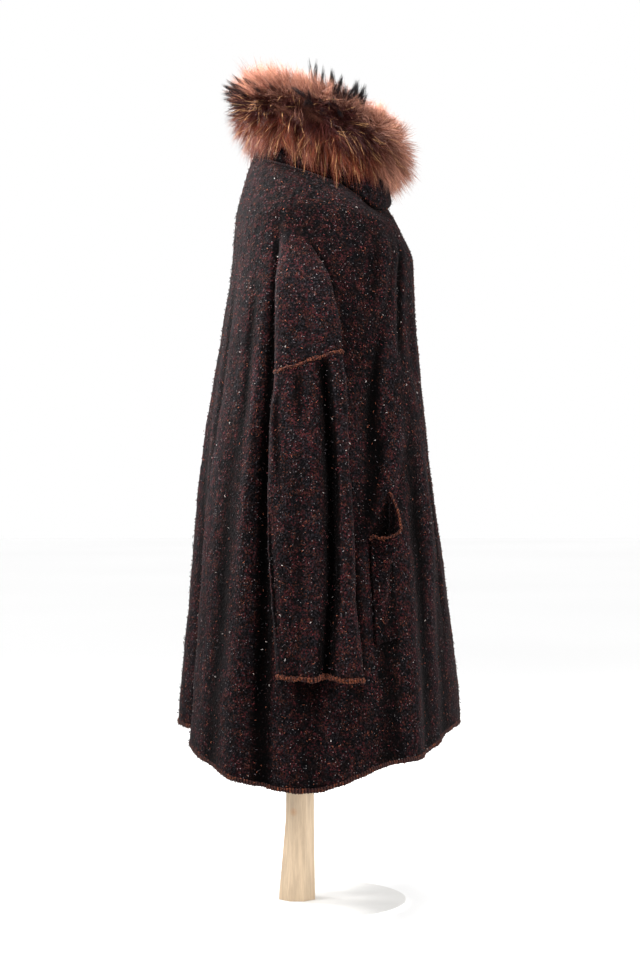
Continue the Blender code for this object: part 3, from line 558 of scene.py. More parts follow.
def neckline(angle, side):
    sag = hump(angle, NECK_SAG_ANGLE, NECK_SAG_SPREAD)
    x = NECK_HALF_WIDTH * np.sin(angle) * (1 + NECK_SAG_WIDEN * sag)
    y = NECK_MIDDLE[0] + NECK_REACH[0] * np.cos(angle)
    z = NECK_MIDDLE[1] + NECK_REACH[1] * np.cos(angle) - NECK_SAG_DROP * sag
    return stack(side * x, y, z)


def shoulder_height(angle):
    drop = np.where(np.cos(angle) > 0, SHOULDER_BACK_Z, SHOULDER_FRONT_Z) - SHOULDER_Z
    return SHOULDER_Z + drop * np.cos(angle) ** 2


def hem_height(angle):
    swell = np.abs(np.sin(angle))
    front = HEM_SHELF_FRONT * smooth(swell, 0.1, 0.75) + (1 - HEM_SHELF_FRONT) * swell**HEM_CURVE_FRONT
    return HEM_Z - HEM_DROP * np.where(np.cos(angle) > 0, swell**HEM_CURVE_BACK, front)


def side_height(row):
    """The height of a row at the side of the coat, down to the armhole seam."""
    along = (np.clip(row, SHOULDER_ROW, ARMHOLE_ROW) - SHOULDER_ROW) / (ARMHOLE_ROW - SHOULDER_ROW)
    return SHOULDER_Z + (ARMHOLE_Z - SHOULDER_Z) * along


def valley_angle(row, valley):
    """The angle of the fold between the body and the dropped shoulder. It closes to the side seam below."""
    height = side_height(row)
    back, front = read(BODY, 1, height), read(BODY, 2, height)
    y = read(DROPPED_SHOULDER, valley, height)
    reach = np.where(y > SIDE_Y, back - SIDE_Y, SIDE_Y - front)
    angle = np.arccos(np.clip((y - SIDE_Y) / reach, -1, 1))
    below = np.clip(row - ARMHOLE_ROW, 0, 1)
    return angle + (math.pi / 2 - angle) * below


def column_angle(column, row):
    back, front = valley_angle(row, 1), valley_angle(row, 2)
    t = np.clip(row / SHOULDER_ROW, 0, 1)
    widened = 2 * t * (1 - t) * CROWN_LEAN[0] + t**2
    half = NECK_HALF_WIDTH + (read(BODY, 3, side_height(row)) - NECK_HALF_WIDTH) * widened
    end = math.pi - np.arcsin(FRONT_EDGE_X / half)
    angle = back * np.clip(column / BACK_COLUMNS, 0, 1)
    angle = angle + (front - back) * np.clip((column - VALLEY_BACK) / SHOULDER_COLUMNS, 0, 1)
    return angle + (end - front) * np.clip((column - VALLEY_FRONT) / FRONT_COLUMNS, 0, 1)


def turn_of(column):
    """The angle round the dropped shoulder: pi at the back valley, 0 at its ridge, -pi at the front one."""
    return math.pi * (1 - 2 * np.clip((column - VALLEY_BACK) / SHOULDER_COLUMNS, 0, 1))


def armhole_rise(y, turn):
    return -ARMHOLE_SLOPE * (y - SIDE_Y) * smooth(math.pi - np.abs(turn), 0.0, math.pi / 3)


def tube_y(turn, back_edge, front_edge, back_root, front_root):
    """y round a flattened tube that runs from its roots, over its edges, to the ridge between them."""
    ridge = (back_edge + front_edge) / 2
    edge = np.where(turn > 0, back_edge, front_edge)
    root = np.where(turn > 0, back_root, front_root)
    inner = np.abs(turn) > math.pi / 2
    return np.where(inner, root, ridge) + (edge - np.where(inner, root, ridge)) * np.abs(np.sin(turn))


def coat(column, row, side):
    """A point on the outside of the coat, from the cloth grid's column and row."""
    column, row = np.broadcast_arrays(np.asarray(column, float), np.asarray(row, float))
    angle = column_angle(column, row)
    neck = neckline(angle, side)
    tip_height = shoulder_height(angle)
    tip = section(angle, tip_height, side)
    t = np.clip(row / SHOULDER_ROW, 0, 1)[..., None]
    lean = CROWN_LEAN[0] + CROWN_LEAN[1] * np.sin(angle) ** 2
    crown = neck + (tip - neck) * stack(lean, lean, CROWN_DROP)
    top = (1 - t) ** 2 * neck + 2 * t * (1 - t) * crown + t**2 * tip
    fall = np.clip((row - SHOULDER_ROW) / (ARMHOLE_ROW - SHOULDER_ROW), 0, 1)
    height = tip_height + (ARMHOLE_Z - tip_height) * fall
    below = np.clip((row - SIDE_ROW) / (HEM_ROW - SIDE_ROW), 0, 1)
    height = height - SIDE_STEP * np.clip(row - ARMHOLE_ROW, 0, 1)
    height = height + (hem_height(angle) - height) * below
    body = section(angle, height, side)
    level = side_height(row)
    values = [read(DROPPED_SHOULDER, index, level) for index in range(1, 6)]
    valley_back, valley_front, back_edge, front_edge, thick = values
    turn = turn_of(column)
    y = tube_y(turn, back_edge, front_edge, valley_back, valley_front)
    root = np.abs(body[..., 0])
    x = root + thick * (1 + np.cos(turn)) / 2
    z = height + armhole_rise(y, turn) * fall**2
    cap = stack(side * x, y, z)
    formed = smooth(SHOULDER_Z - level, 0.0, CAP_FORMED_BY)
    inside = (column > VALLEY_BACK) & (column < VALLEY_FRONT) & (row <= ARMHOLE_ROW)
    share = np.where(inside, formed, 0.0)[..., None]
    hung = body + (cap - body) * share
    return np.where((row < SHOULDER_ROW)[..., None], top, hung)


def sleeve_points(turn, along, side):
    """Points on the outside of the sleeve: the turn round it, and 0 at the armhole to 1 at the cuff."""
    turn, along = np.broadcast_arrays(turn, along)
    level = ARMHOLE_Z + (CUFF_Z - ARMHOLE_Z) * along
    back_edge, front_edge, groove_y, groove_depth, gap, thick = (read(SLEEVE, i, level) for i in range(1, 7))
    y = tube_y(turn, back_edge, front_edge, SIDE_Y, SIDE_Y)
    outside = smooth(np.cos(turn), -0.1, 0.35)
    fold = hump(y, groove_y, GROOVE_WIDTH) * outside
    top = ARMHOLE_Z + armhole_rise(y, turn) - ARMHOLE_GAP
    bottom = CUFF_Z + CUFF_SLOPE * (y - CUFF_MIDDLE_Y) + CUFF_GROOVE_RISE * fold
    z = top + (bottom - top) * along
    root = read(BODY, 3, z) + gap
    x = root + thick * (1 + np.cos(turn)) / 2 - groove_depth * fold
    degrees = np.degrees(turn)
    for where, top_turn, start, low_turn, end, spread, depth in SLEEVE_CREASES:
        if where == side:
            t = (along - start) / (end - start)
            fade = smooth(t, 0, CREASE_FADE) * smooth(1 - t, 0, CREASE_FADE)
            x = x + depth * hump(degrees, top_turn + (low_turn - top_turn) * t, spread) * fade
    return stack(side * x, y, z)


def collar_points(angle, along):
    """Points on the outside of the collar stand: a signed angle, and 0 at the neckline to 1 at the top."""
    angle, along = np.broadcast_arrays(angle, along)
    side, size = np.sign(angle + 1e-9), np.abs(angle)
    foot = neckline(size, side) + np.array([0.0, 0.0, COLLAR_SEAT])
    top_x = COLLAR_TOP_HALF_WIDTH * np.sin(angle)
    top_y = COLLAR_TOP_MIDDLE[0] + COLLAR_TOP_REACH[0] * np.cos(angle)
    top_z = COLLAR_TOP_MIDDLE[1] + COLLAR_TOP_REACH[1] * np.cos(angle)
    top = stack(top_x, top_y, top_z)
    front = smooth(size, *COLLAR_FRONT)
    puff = np.sin(math.pi * along**COLLAR_PUFF_CURVE)
    out = stack(np.sin(angle), np.cos(angle), 0.0)
    sag = np.zeros_like(out)
    sag[..., 2] = -front * COLLAR_SAG * np.sin(math.pi * along)
    return foot + (top - foot) * along[..., None] + out * (front * COLLAR_BULGE * puff)[..., None] + sag


def fur_points(angle, turn, share=1.0):
    """Points round the fur: a signed angle round the neck, the turn over the collar, a share of its depth."""
    angle, turn, share = np.broadcast_arrays(angle, turn, share)
    top = collar_points(angle, np.ones_like(angle))
    reach = np.where(np.cos(turn) > 0, FUR_OUTWARD, FUR_INWARD)
    across = share * (FUR_MIDDLE[0] + reach * np.cos(turn))
    rise = share * (FUR_MIDDLE[1] + FUR_RISE * np.sin(turn)) + FUR_TILT * across * np.cos(angle)
    out = stack(np.sin(angle), np.cos(angle), 0.0)
    lift = stack(0.0, 0.0, rise)
    return top + out * across[..., None] + lift


def pocket_points(across, down, side):
    """Points of a patch pocket: 0 to 1 from its back edge to its front one, and from its mouth down."""
    across, down = np.broadcast_arrays(across, down)
    column = POCKET_COLUMN_ENDS[0] + (POCKET_COLUMN_ENDS[1] - POCKET_COLUMN_ENDS[0]) * across
    mouth = POCKET_MOUTH_Z[0] + (POCKET_MOUTH_Z[1] - POCKET_MOUTH_Z[0]) * across
    bottom = POCKET_BOTTOM_Z[0] + (POCKET_BOTTOM_Z[1] - POCKET_BOTTOM_Z[0]) * across
    height = mouth + (bottom - mouth) * down
    row = np.full(across.shape, POCKET_START_ROW)
    for _ in range(SEARCH_ROUNDS):
        now = coat(column, row, side)[..., 2]
        beside = coat(column, row + GRID_NUDGE, side)[..., 2]
        row = np.clip(row + (height - now) / (beside - now) * GRID_NUDGE, SIDE_ROW, HEM_ROW)
    base = coat(column, row, side)
    step = coat(column + GRID_NUDGE, row, side) - coat(column - GRID_NUDGE, row, side)
    out = unit(stack(step[..., 1], -step[..., 0], 0.0) * -side)
    drift = np.clip(across + POCKET_DRIFT * down, 0, 1)
    gape = (1 - np.abs(2 * drift - 1) ** POCKET_GAPE_CURVE[0]) * (1 - down) ** POCKET_GAPE_CURVE[1]
    gape = gape * smooth(across, 0, POCKET_GAPE_ENDS) * smooth(1 - across, 0, POCKET_GAPE_ENDS)
    push = np.array([side * POCKET_GAPE[0], POCKET_GAPE[1], POCKET_GAPE[2]])
    return base + out * (POCKET_LIFT + bpy.context.scene.coat_sizes.wall) + gape[..., None] * push


def lumps(points, size, seed):
    """Soft noise at each point, about -1 to 1, with bumps about this size."""
    shift = Vector((seed * 7.3, seed * 3.1, seed * 5.7))
    return np.array([noise.noise(Vector(point) / size + shift) for point in points])


def finish_piece(piece, material_made, replaced=()):
    """A finished piece takes its material and its place on the body."""
    piece.data.materials.clear()
    piece.data.materials.append(material_made)
    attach(piece, BODY_NAME)
    if replaced:
        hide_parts(*replaced)
    return piece


def put_mesh(name, mesh):
    data = bpy.data.meshes.new(name)
    mesh.to_mesh(data)
    mesh.free()
    piece = bpy.data.objects.new(name, data)
    bpy.context.scene.collection.objects.link(piece)
    return piece


# Used for painted shade in the cloth's valleys and a painted highlight on its ridges.
def fold_depths(points, normals, across, down, wraps):
    """How far each point of a grid stands out from the cloth a little to its left and right, from 0 to 1."""
    shape = (down.max() + 1, across.max() + 1)
    place, facing = np.zeros((*shape, 3)), np.zeros((*shape, 3))
    place[down, across], facing[down, across] = points, normals
    mode = "wrap" if wraps else "edge"
    wide = np.pad(place, ((0, 0), (FOLD_REACH, FOLD_REACH), (0, 0)), mode=mode)
    beside = (wide[:, : -2 * FOLD_REACH] + wide[:, 2 * FOLD_REACH :]) / 2
    out = ((place - beside) * facing).sum(-1)
    if not wraps:
        out[:, :FOLD_REACH] = out[:, FOLD_REACH : FOLD_REACH + 1]
        out[:, -FOLD_REACH:] = out[:, -FOLD_REACH - 1 : -FOLD_REACH]
    return np.clip(0.5 + (out - FOLD_MIDDLE) / FOLD_RANGE, 0, 1)[down, across]


def cloth(name, columns, rows, place, keep=None, wraps=False, bumps=True, shade=None):
    """A sheet of knit: a grid whose points are moved to place(column, row), with soft waves and bumps."""
    sizes = bpy.context.scene.coat_sizes
    mesh = bmesh.new()
    bmesh.ops.create_grid(mesh, x_segments=len(columns) - 1, y_segments=len(rows) - 1, size=0.5)
    fold_shade_layer = mesh.verts.layers.float.new("fold")
    calm_layer = mesh.verts.layers.float.new("calm")
    vertices = list(mesh.verts)
    grid = np.array([vertex.co for vertex in vertices])
    across = np.rint((grid[:, 0] + 0.5) * (len(columns) - 1)).astype(int)
    down = np.rint((0.5 - grid[:, 1]) * (len(rows) - 1)).astype(int)
    column, row = np.asarray(columns)[across], np.asarray(rows)[down]
    if keep is not None:
        order = {vertex: index for index, vertex in enumerate(vertices)}
        gone = []
        for face in mesh.faces:
            corners = [order[vertex] for vertex in face.verts]
            if not keep(column[corners].mean(), row[corners].mean()):
                gone.append(face)
    for vertex, point in zip(vertices, place(column, row)):
        vertex.co = point
    mesh.normal_update()
    normals = np.array([vertex.normal for vertex in vertices])
    points = np.array([vertex.co for vertex in vertices])
    away = points - np.array([points[:, 0].mean() if wraps else 0.0, SIDE_Y, 0.0])
    away[:, 2] = 0.0
    if (normals * away).sum() < 0:
        normals = -normals
    # The fold attribute is painted light and shade: low in the valleys for painted shade, high on the ridges
    # for a painted highlight, times the painted shade that shade() gives.
    fold = fold_depths(points, normals, across, down, wraps)
    if shade is not None:
        fold = fold * shade(column, row, points)
    border = np.minimum(down, len(rows) - 1 - down)
    if not wraps:
        border = np.minimum(border, np.minimum(across, len(columns) - 1 - across))
    calm = smooth(border, 0, CALM_BORDER)
    for vertex, value, quiet in zip(vertices, fold, calm):
        vertex[fold_shade_layer] = value
        vertex[calm_layer] = quiet
    if keep is not None:
        bmesh.ops.delete(mesh, geom=gone, context="FACES")
    if wraps:
        bmesh.ops.remove_doubles(mesh, verts=mesh.verts, dist=WELD)
    mesh.normal_update()
    outside = sum(face.normal.dot(face.calc_center_median() - Vector((0, SIDE_Y, face.verts[0].co.z)))
                  * face.calc_area() for face in mesh.faces)
    if outside < 0 and not wraps:
        bmesh.ops.reverse_faces(mesh, faces=mesh.faces)
    if wraps:
        bmesh.ops.recalc_face_normals(mesh, faces=mesh.faces)
    mesh.normal_update()
    if bumps:
        points = np.array([vertex.co for vertex in mesh.verts])
        waves = sizes.soft * lumps(points, sizes.soft_size, 1)
        bump = sizes.lump * lumps(points, sizes.lump_size, 2)
        for vertex, height in zip(mesh.verts, waves + bump):
            vertex.co += vertex.normal * height * vertex[calm_layer]
    piece = put_mesh(name, mesh)
    piece.data.shade_smooth()
    wall = piece.modifiers.new("wall", "SOLIDIFY")
    wall.thickness = sizes.wall
    wall.offset = -1.0
    wall.use_even_offset = False
    return piece


def fine_steps(values, steps):
    """The same values with steps between each two."""
    parts = [np.linspace(a, b, n, endpoint=False) for a, b, n in zip(values, values[1:], steps)]
    return np.concatenate(parts + [[values[-1]]])


def body_rows():
    values = list(range(HEM_ROW + 1))
    steps = [ROW_STEPS[0] if row < SHOULDER_ROW else ROW_STEPS[1] if row < SIDE_ROW else ROW_STEPS[2]
             for row in range(HEM_ROW)]
    return fine_steps(values, steps)


def half_columns(first, last):
    values = list(range(first, last + 1))
    steps = [CAP_STEPS if VALLEY_BACK <= column < VALLEY_FRONT else BODY_STEPS for column in values[:-1]]
    return fine_steps(values, steps)


def ramp(nodes, links, source, stops):
    """A colour ramp fed by a value: stops of (place, grey or colour)."""
    made = nodes.new("ShaderNodeValToRGB")
    elements = made.color_ramp.elements
    while len(elements) < len(stops):
        elements.new(0.5)
    for element, (place, value) in zip(elements, stops):
        element.position = place
        element.color = (value, value, value, 1.0) if isinstance(value, float) else (*value, 1.0)
    links.new(source, made.inputs["Fac"])
    return made.outputs["Color"]


def noise_node(nodes, links, vector, size, detail=2.0, roughness=0.5, shift=0.0):
    """Noise whose features are about this size, in metres."""
    mapping = nodes.new("ShaderNodeMapping")
    mapping.inputs["Location"].default_value = (shift, shift * 0.7, shift * 1.3)
    links.new(vector, mapping.inputs["Vector"])
    made = nodes.new("ShaderNodeTexNoise")
    made.inputs["Scale"].default_value = 1.0 / size
    made.inputs["Detail"].default_value = detail
    made.inputs["Roughness"].default_value = roughness
    links.new(mapping.outputs["Vector"], made.inputs["Vector"])
    return made.outputs["Fac"]


def blended(nodes, links, factor, first, second, mode="MIX"):
    made = nodes.new("ShaderNodeMix")
    made.data_type = "RGBA"
    made.blend_type = mode
    for value, index in ((factor, 0), (first, 6), (second, 7)):
        if isinstance(value, bpy.types.NodeSocket):
            links.new(value, made.inputs[index])
        elif index == 0:
            made.inputs[0].default_value = value
        else:
            made.inputs[index].default_value = (*value, 1.0)
    return made.outputs[2]


def product(nodes, links, first, second, operation="MULTIPLY"):
    made = nodes.new("ShaderNodeMath")
    made.operation = operation
    made.use_clamp = True
    for value, socket in ((first, made.inputs[0]), (second, made.inputs[1])):
        if isinstance(value, bpy.types.NodeSocket):
            links.new(value, socket)
        else:
            socket.default_value = value
    return made.outputs[0]


def bumped(nodes, links, height, distance, strength, before=None):
    made = nodes.new("ShaderNodeBump")
    made.inputs["Strength"].default_value = strength
    made.inputs["Distance"].default_value = distance
    links.new(height, made.inputs["Height"])
    if before:
        links.new(before, made.inputs["Normal"])
    return made.outputs["Normal"]


def new_material(name, roughness):
    made = bpy.data.materials.new(name)
    made.use_nodes = True
    nodes, links = made.node_tree.nodes, made.node_tree.links
    shader = nodes["Principled BSDF"]
    shader.inputs["Roughness"].default_value = roughness
    place = nodes.new("ShaderNodeTexCoord").outputs["Object"]
    return made, nodes, links, shader, place


def flecks(nodes, links, place, size, threshold, cluster, cluster_low, shift):
    """Spots of yarn about this size, gathered into loose clusters."""
    spots = ramp(nodes, links, noise_node(nodes, links, place, size, 1.0, 0.6, shift),
                 ((threshold, 0.0), (threshold + 0.055, 1.0)))
    groups = ramp(nodes, links, noise_node(nodes, links, place, cluster, 2.0, 0.55, shift + 3.0),
                  ((cluster_low, 0.0), (cluster_low + 0.12, 1.0)))
    return product(nodes, links, spots, groups)


def knit_material():
    """Dark looped yarn with red and rust flecks and a grey mohair halo, more of the halo on fold ridges as a
    painted highlight, a few bright specks of metallic thread as painted glints, and painted shade in the fold
    valleys, pockets, neck and between the loops.
    """
    found = bpy.data.materials.get("boucle knit")
    if found:
        return found
    colours = bpy.context.scene.coat_colours
    made, nodes, links, shader, place = new_material("boucle knit", 0.92)
    fold = nodes.new("ShaderNodeAttribute")
    fold.attribute_name = "fold"
    ground = blended(nodes, links, ramp(nodes, links, noise_node(nodes, links, place, 0.009, 3.0),
                                        ((0.42, 0.0), (0.60, 1.0))), colours.charcoal, colours.brown)
    fuzz = ramp(nodes, links, noise_node(nodes, links, place, 0.0020, 2.0, 0.7, 5.0),
                ((0.47, 0.0), (0.64, 0.72)))
    # Painted highlight: the grey mohair is laid on more thickly where the fold attribute marks a ridge.
    ridge_highlight = ramp(nodes, links, fold.outputs["Fac"], ((0.45, 0.20), (0.90, 0.85)))
    colour = blended(nodes, links, product(nodes, links, fuzz, ridge_highlight), ground, colours.mohair)
    red = flecks(nodes, links, place, 0.0025, 0.51, 0.014, 0.46, 1.0)
    colour = blended(nodes, links, red, colour, colours.burgundy)
    small = flecks(nodes, links, place, 0.0020, 0.55, 0.012, 0.50, 8.0)
    colour = blended(nodes, links, small, colour, colours.rust)
    # Painted glints: the centres of some loops take the bright metallic colour.
    loops = nodes.new("ShaderNodeTexVoronoi")
    loops.inputs["Scale"].default_value = 1.0 / LOOP_SPACING
    links.new(place, loops.inputs["Vector"])
    glint_spot = ramp(nodes, links, loops.outputs["Distance"], ((0.08, 1.0), (0.15, 0.0)))
    chosen = ramp(nodes, links, loops.outputs["Color"], ((0.44, 0.0), (0.86, 1.0)))
    colour = blended(nodes, links, product(nodes, links, glint_spot, chosen), colour, colours.metal_glint)
    slow = ramp(nodes, links, noise_node(nodes, links, place, 0.085, 2.0, 0.5, 9.0),
                ((0.35, 0.37), (0.65, 0.54)))
    colour = blended(nodes, links, 1.0, colour, slow, "MULTIPLY")
    # Painted shade: darker in the fold valleys, inside the pockets and at the neck, as the fold attribute
    # says.
    depth = ramp(nodes, links, fold.outputs["Fac"], ((0.0, 0.06), (0.28, 0.42), (0.55, 0.86), (0.85, 1.0)))
    colour = blended(nodes, links, 1.0, colour, depth, "MULTIPLY")
    # Painted shade between the loops, darker away from each loop's centre; the same value raises the bump.
    loop_dip_and_shade = ramp(nodes, links, loops.outputs["Distance"], ((0.15, 1.0), (0.75, 0.25)))
    colour = blended(nodes, links, 1.0, colour, loop_dip_and_shade, "MULTIPLY")
    links.new(colour, shader.inputs["Base Color"])
    rise = product(nodes, links, loop_dip_and_shade, noise_node(nodes, links, place, 0.0016, 2.0, 0.6, 2.0))
    links.new(bumped(nodes, links, rise, 0.0016, 0.9), shader.inputs["Normal"])
    shader.inputs["Specular IOR Level"].default_value = 0.02
    shader.inputs["Sheen Weight"].default_value = 0.035
    shader.inputs["Sheen Roughness"].default_value = 0.35
    shader.inputs["Sheen Tint"].default_value = (0.62, 0.52, 0.55, 1.0)
    return made


def edging_material(name, dark_from):
    """Rust crochet with painted shade between its stitches, with dark yarn where a slow noise is above a
    level.
    """
    colours = bpy.context.scene.coat_colours
    made, nodes, links, shader, place = new_material(name, 0.88)
    attribute = nodes.new("ShaderNodeAttribute")
    attribute.attribute_name = "stitch"
    fuzz = noise_node(nodes, links, place, 0.0028, 2.0, 0.6)
    warm = blended(nodes, links, ramp(nodes, links, fuzz, ((0.38, 0.0), (0.62, 1.0))),
                   tuple(0.40 * value for value in colours.edging), colours.edging)
    dark = ramp(nodes, links, noise_node(nodes, links, place, 0.006, 3.0, 0.6, 4.0),
                ((dark_from, 0.0), (dark_from + 0.08, 0.92)))
    warm = blended(nodes, links, dark, warm, colours.dark_edging)
    # Painted shade: darker between the stitches, where the stitch attribute is low.
    groove_shade = ramp(nodes, links, attribute.outputs["Fac"], ((0.30, 0.04), (0.85, 1.0)))
    links.new(blended(nodes, links, 1.0, warm, groove_shade, "MULTIPLY"), shader.inputs["Base Color"])
    links.new(bumped(nodes, links, fuzz, 0.0010, 0.7), shader.inputs["Normal"])
    shader.inputs["Specular IOR Level"].default_value = 0.03
    shader.inputs["Sheen Weight"].default_value = 0.03
    shader.inputs["Sheen Roughness"].default_value = 0.5
    return made


def toned_material(name, roughness, shine, sheen, grain):
    """A material whose colour comes from the piece's own tone, with a slight unevenness."""
    made, nodes, links, shader, place = new_material(name, roughness)
    attribute = nodes.new("ShaderNodeAttribute")
    attribute.attribute_name = "tone"
    patchy = ramp(nodes, links, noise_node(nodes, links, place, grain, 2.0, 0.6), ((0.3, 0.72), (0.7, 1.0)))
    links.new(blended(nodes, links, 1.0, attribute.outputs["Color"], patchy, "MULTIPLY"),
              shader.inputs["Base Color"])
    shader.inputs["Specular IOR Level"].default_value = shine
    shader.inputs["Sheen Weight"].default_value = sheen
    return made


def neck_shade(column, row, points):
    """Painted shade along the joint of the collar and the body."""
    return NECK_SHADE + (1 - NECK_SHADE) * smooth(row, 0.0, NECK_SHADE_ROWS)


def collar_shade(angle, along, points):
    """Painted shade at the foot of the collar stand."""
    return NECK_SHADE + (1 - NECK_SHADE) * smooth(along, 0.0, COLLAR_SHADE_REACH)


def front_shade(column, row, points):
    """Painted shade inside the patch pockets and along the collar, for points of the fronts."""
    across = (column - POCKET_COLUMN_ENDS[0]) / (POCKET_COLUMN_ENDS[1] - POCKET_COLUMN_ENDS[0])
    mouth = POCKET_MOUTH_Z[0] + (POCKET_MOUTH_Z[1] - POCKET_MOUTH_Z[0]) * across
    inside = smooth(across, *POCKET_SHADE_SIDE) * smooth(1 - across, *POCKET_SHADE_SIDE)
    inside = inside * smooth(mouth - points[:, 2], *POCKET_SHADE_MOUTH)
    inside = inside * (points[:, 2] > POCKET_BOTTOM_Z[0])
    return (1 - (1 - POCKET_SHADE) * inside) * neck_shade(column, row, points)


class COAT_OT_body(bpy.types.Operator):
    """Back and fronts in knit, each over its half of the dropped shoulder"""

    bl_idname = "coat.body"
    bl_label = "Back and fronts"

    def execute(self, context):
        rows = body_rows()
        halves = half_columns(0, CAP_TOP)
        columns = np.concatenate([-halves[:0:-1], halves])

        def back_place(column, row):
            points = np.zeros((len(column), 3))
            for side, _ in SIDES:
                chosen = column * side >= 0
                points[chosen] = coat(np.abs(column[chosen]), row[chosen], side)
            return points

        def back_keep(column, row):
            return row < ARMHOLE_ROW or abs(column) < VALLEY_BACK

        piece = cloth("back_knit", columns, rows, back_place, back_keep, shade=neck_shade)
        finish_piece(piece, knit_material(), ["back"])
        for side, name in SIDES:
            piece = cloth(
                "front_" + name + "_knit", half_columns(CAP_TOP, CENTRE_FRONT), rows,
                lambda column, row, side=side: coat(column, row, side),
                lambda column, row: row < ARMHOLE_ROW or column > VALLEY_FRONT,
                shade=front_shade)
            finish_piece(piece, knit_material(), ["front_" + name])
        return {"FINISHED"}


class COAT_OT_sleeves(bpy.types.Operator):
    """The two empty sleeves"""

    bl_idname = "coat.sleeves"
    bl_label = "Sleeves"

    def execute(self, context):
        for side, name in SIDES:
            piece = cloth(
                "sleeve_" + name + "_knit", np.linspace(math.pi, -math.pi, SLEEVE_STEPS[0] + 1),
                np.linspace(0, 1, SLEEVE_STEPS[1] + 1),
                lambda turn, along, side=side: sleeve_points(turn, along, side), wraps=True)
            finish_piece(piece, knit_material(), ["sleeve_" + name])
        return {"FINISHED"}


class COAT_OT_collar(bpy.types.Operator):
    """The collar stand under the fur"""

    bl_idname = "coat.collar"
    bl_label = "Collar stand"

    def execute(self, context):
        reach = math.pi - COLLAR_GAP_ANGLE
        piece = cloth("collar_knit", np.linspace(-reach, reach, COLLAR_STEPS[0] + 1),
                      np.linspace(1, 0, COLLAR_STEPS[1] + 1), collar_points, shade=collar_shade)
        finish_piece(piece, knit_material(), ["collar"])
        return {"FINISHED"}


class COAT_OT_pockets(bpy.types.Operator):
    """A patch pocket on each front"""

    bl_idname = "coat.pockets"
    bl_label = "Pockets"

    def execute(self, context):
        for side, name in SIDES:
            piece = cloth(
                "pocket_" + name + "_knit", np.linspace(0, 1, POCKET_STEPS[0] + 1),
                np.linspace(0, 1, POCKET_STEPS[1] + 1),
                lambda across, down, side=side: pocket_points(across, down, side))
            finish_piece(piece, knit_material(), ["pocket_" + name])
        return {"FINISHED"}


def evenly(points, step):
    """Places along a polyline, this far apart and counted in its points, and its length."""
    lengths = np.concatenate([[0], np.cumsum(np.linalg.norm(np.diff(points, axis=0), axis=1))])
    count = max(4, int(round(lengths[-1] / step)))
    return np.interp(np.linspace(0, lengths[-1], count + 1), lengths, np.arange(len(points))), lengths[-1]


def sampled(points, places):
    index = np.arange(len(points))
    return np.stack([np.interp(places, index, points[:, axis]) for axis in range(3)], axis=-1)


def stitched_bar(name, line, across, away, height, thickness, lift, closed=False, wander=0.0005):
    """A crocheted bar along an edge: one slanted rib for each stitch, grooves between them."""
    sizes = bpy.context.scene.coat_sizes
    places, length = evenly(line, sizes.stitch / 4)
    centre = sampled(line, places)
    across, away = unit(sampled(across, places)), unit(sampled(away, places))
    stitches = round(length / sizes.stitch)
    mesh = bmesh.new()
    bmesh.ops.create_grid(mesh, x_segments=len(places) - 1, y_segments=BAR_SIDES, size=0.5)
    layer = mesh.verts.layers.float.new("stitch")
    vertices = list(mesh.verts)
    grid = np.array([vertex.co for vertex in vertices])
    ring = np.rint((grid[:, 0] + 0.5) * (len(places) - 1)).astype(int)
    turn = (grid[:, 1] + 0.5) * 2 * math.pi
    share = ring / (len(places) - 1)
    phase = share * stitches + BAR_SLANT * np.cos(turn)
    rib = np.abs(np.sin(math.pi * phase))
    run = share * length
    uneven = 1.0 + 0.10 * np.sin(run * 61.0) + 0.07 * np.sin(run * 173.0 + 1.0)
    uneven = uneven + wander * 120 * np.sin(run * 410.0) * np.sin(run * 97.0 + 0.5)
    astray = wander * (np.sin(run * 190.0) + 0.8 * np.sin(run * 71.0 + 1.0) + 0.6 * np.sin(run * 610.0 + 2.0))
    size = (BAR_GROOVE[0] + BAR_GROOVE[1] * rib) * uneven
    wide = thickness / 2 * size * np.sign(np.cos(turn)) * np.abs(np.cos(turn)) ** BAR_SQUARENESS
    tall = height / 2 * size * np.sin(turn)
    astray = np.where((ring == 0) | (ring == len(places) - 1), 0.0, astray)
    out = (lift + height / 2 + tall + astray)[:, None]
    points = centre[ring] + across[ring] * wide[:, None] + away[ring] * out
    for vertex, point, value in zip(vertices, points, rib):
        vertex.co = point
        vertex[layer] = value
    bmesh.ops.remove_doubles(mesh, verts=mesh.verts, dist=WELD)
    if not closed:
        ends = [edge for edge in mesh.edges if edge.is_boundary]
        bmesh.ops.holes_fill(mesh, edges=ends, sides=BAR_SIDES + 2)
    bmesh.ops.recalc_face_normals(mesh, faces=mesh.faces)
    piece = put_mesh(name, mesh)
    piece.data.shade_smooth()
    return piece


def facing(out, seen):
    """The same directions, turned round where they point against seen."""
    return out * np.where((out * seen).sum(-1, keepdims=True) < 0, -1.0, 1.0)


def in_wall(line, out):
    """A line on the outside of the cloth, moved into the middle of its wall."""
    return line - out * (bpy.context.scene.coat_sizes.wall / 2)


def trim_bar(name, line, out, away, shares, lift=0, closed=False):
    """A bar of edging: shares of the edging's height and thickness, and how far its stitches stray."""
    sizes = bpy.context.scene.coat_sizes
    return stitched_bar(name, in_wall(line, out), out, away, sizes.edging_height * shares[0],
                        sizes.edging_thickness * shares[1], lift, closed=closed, wander=shares[2])


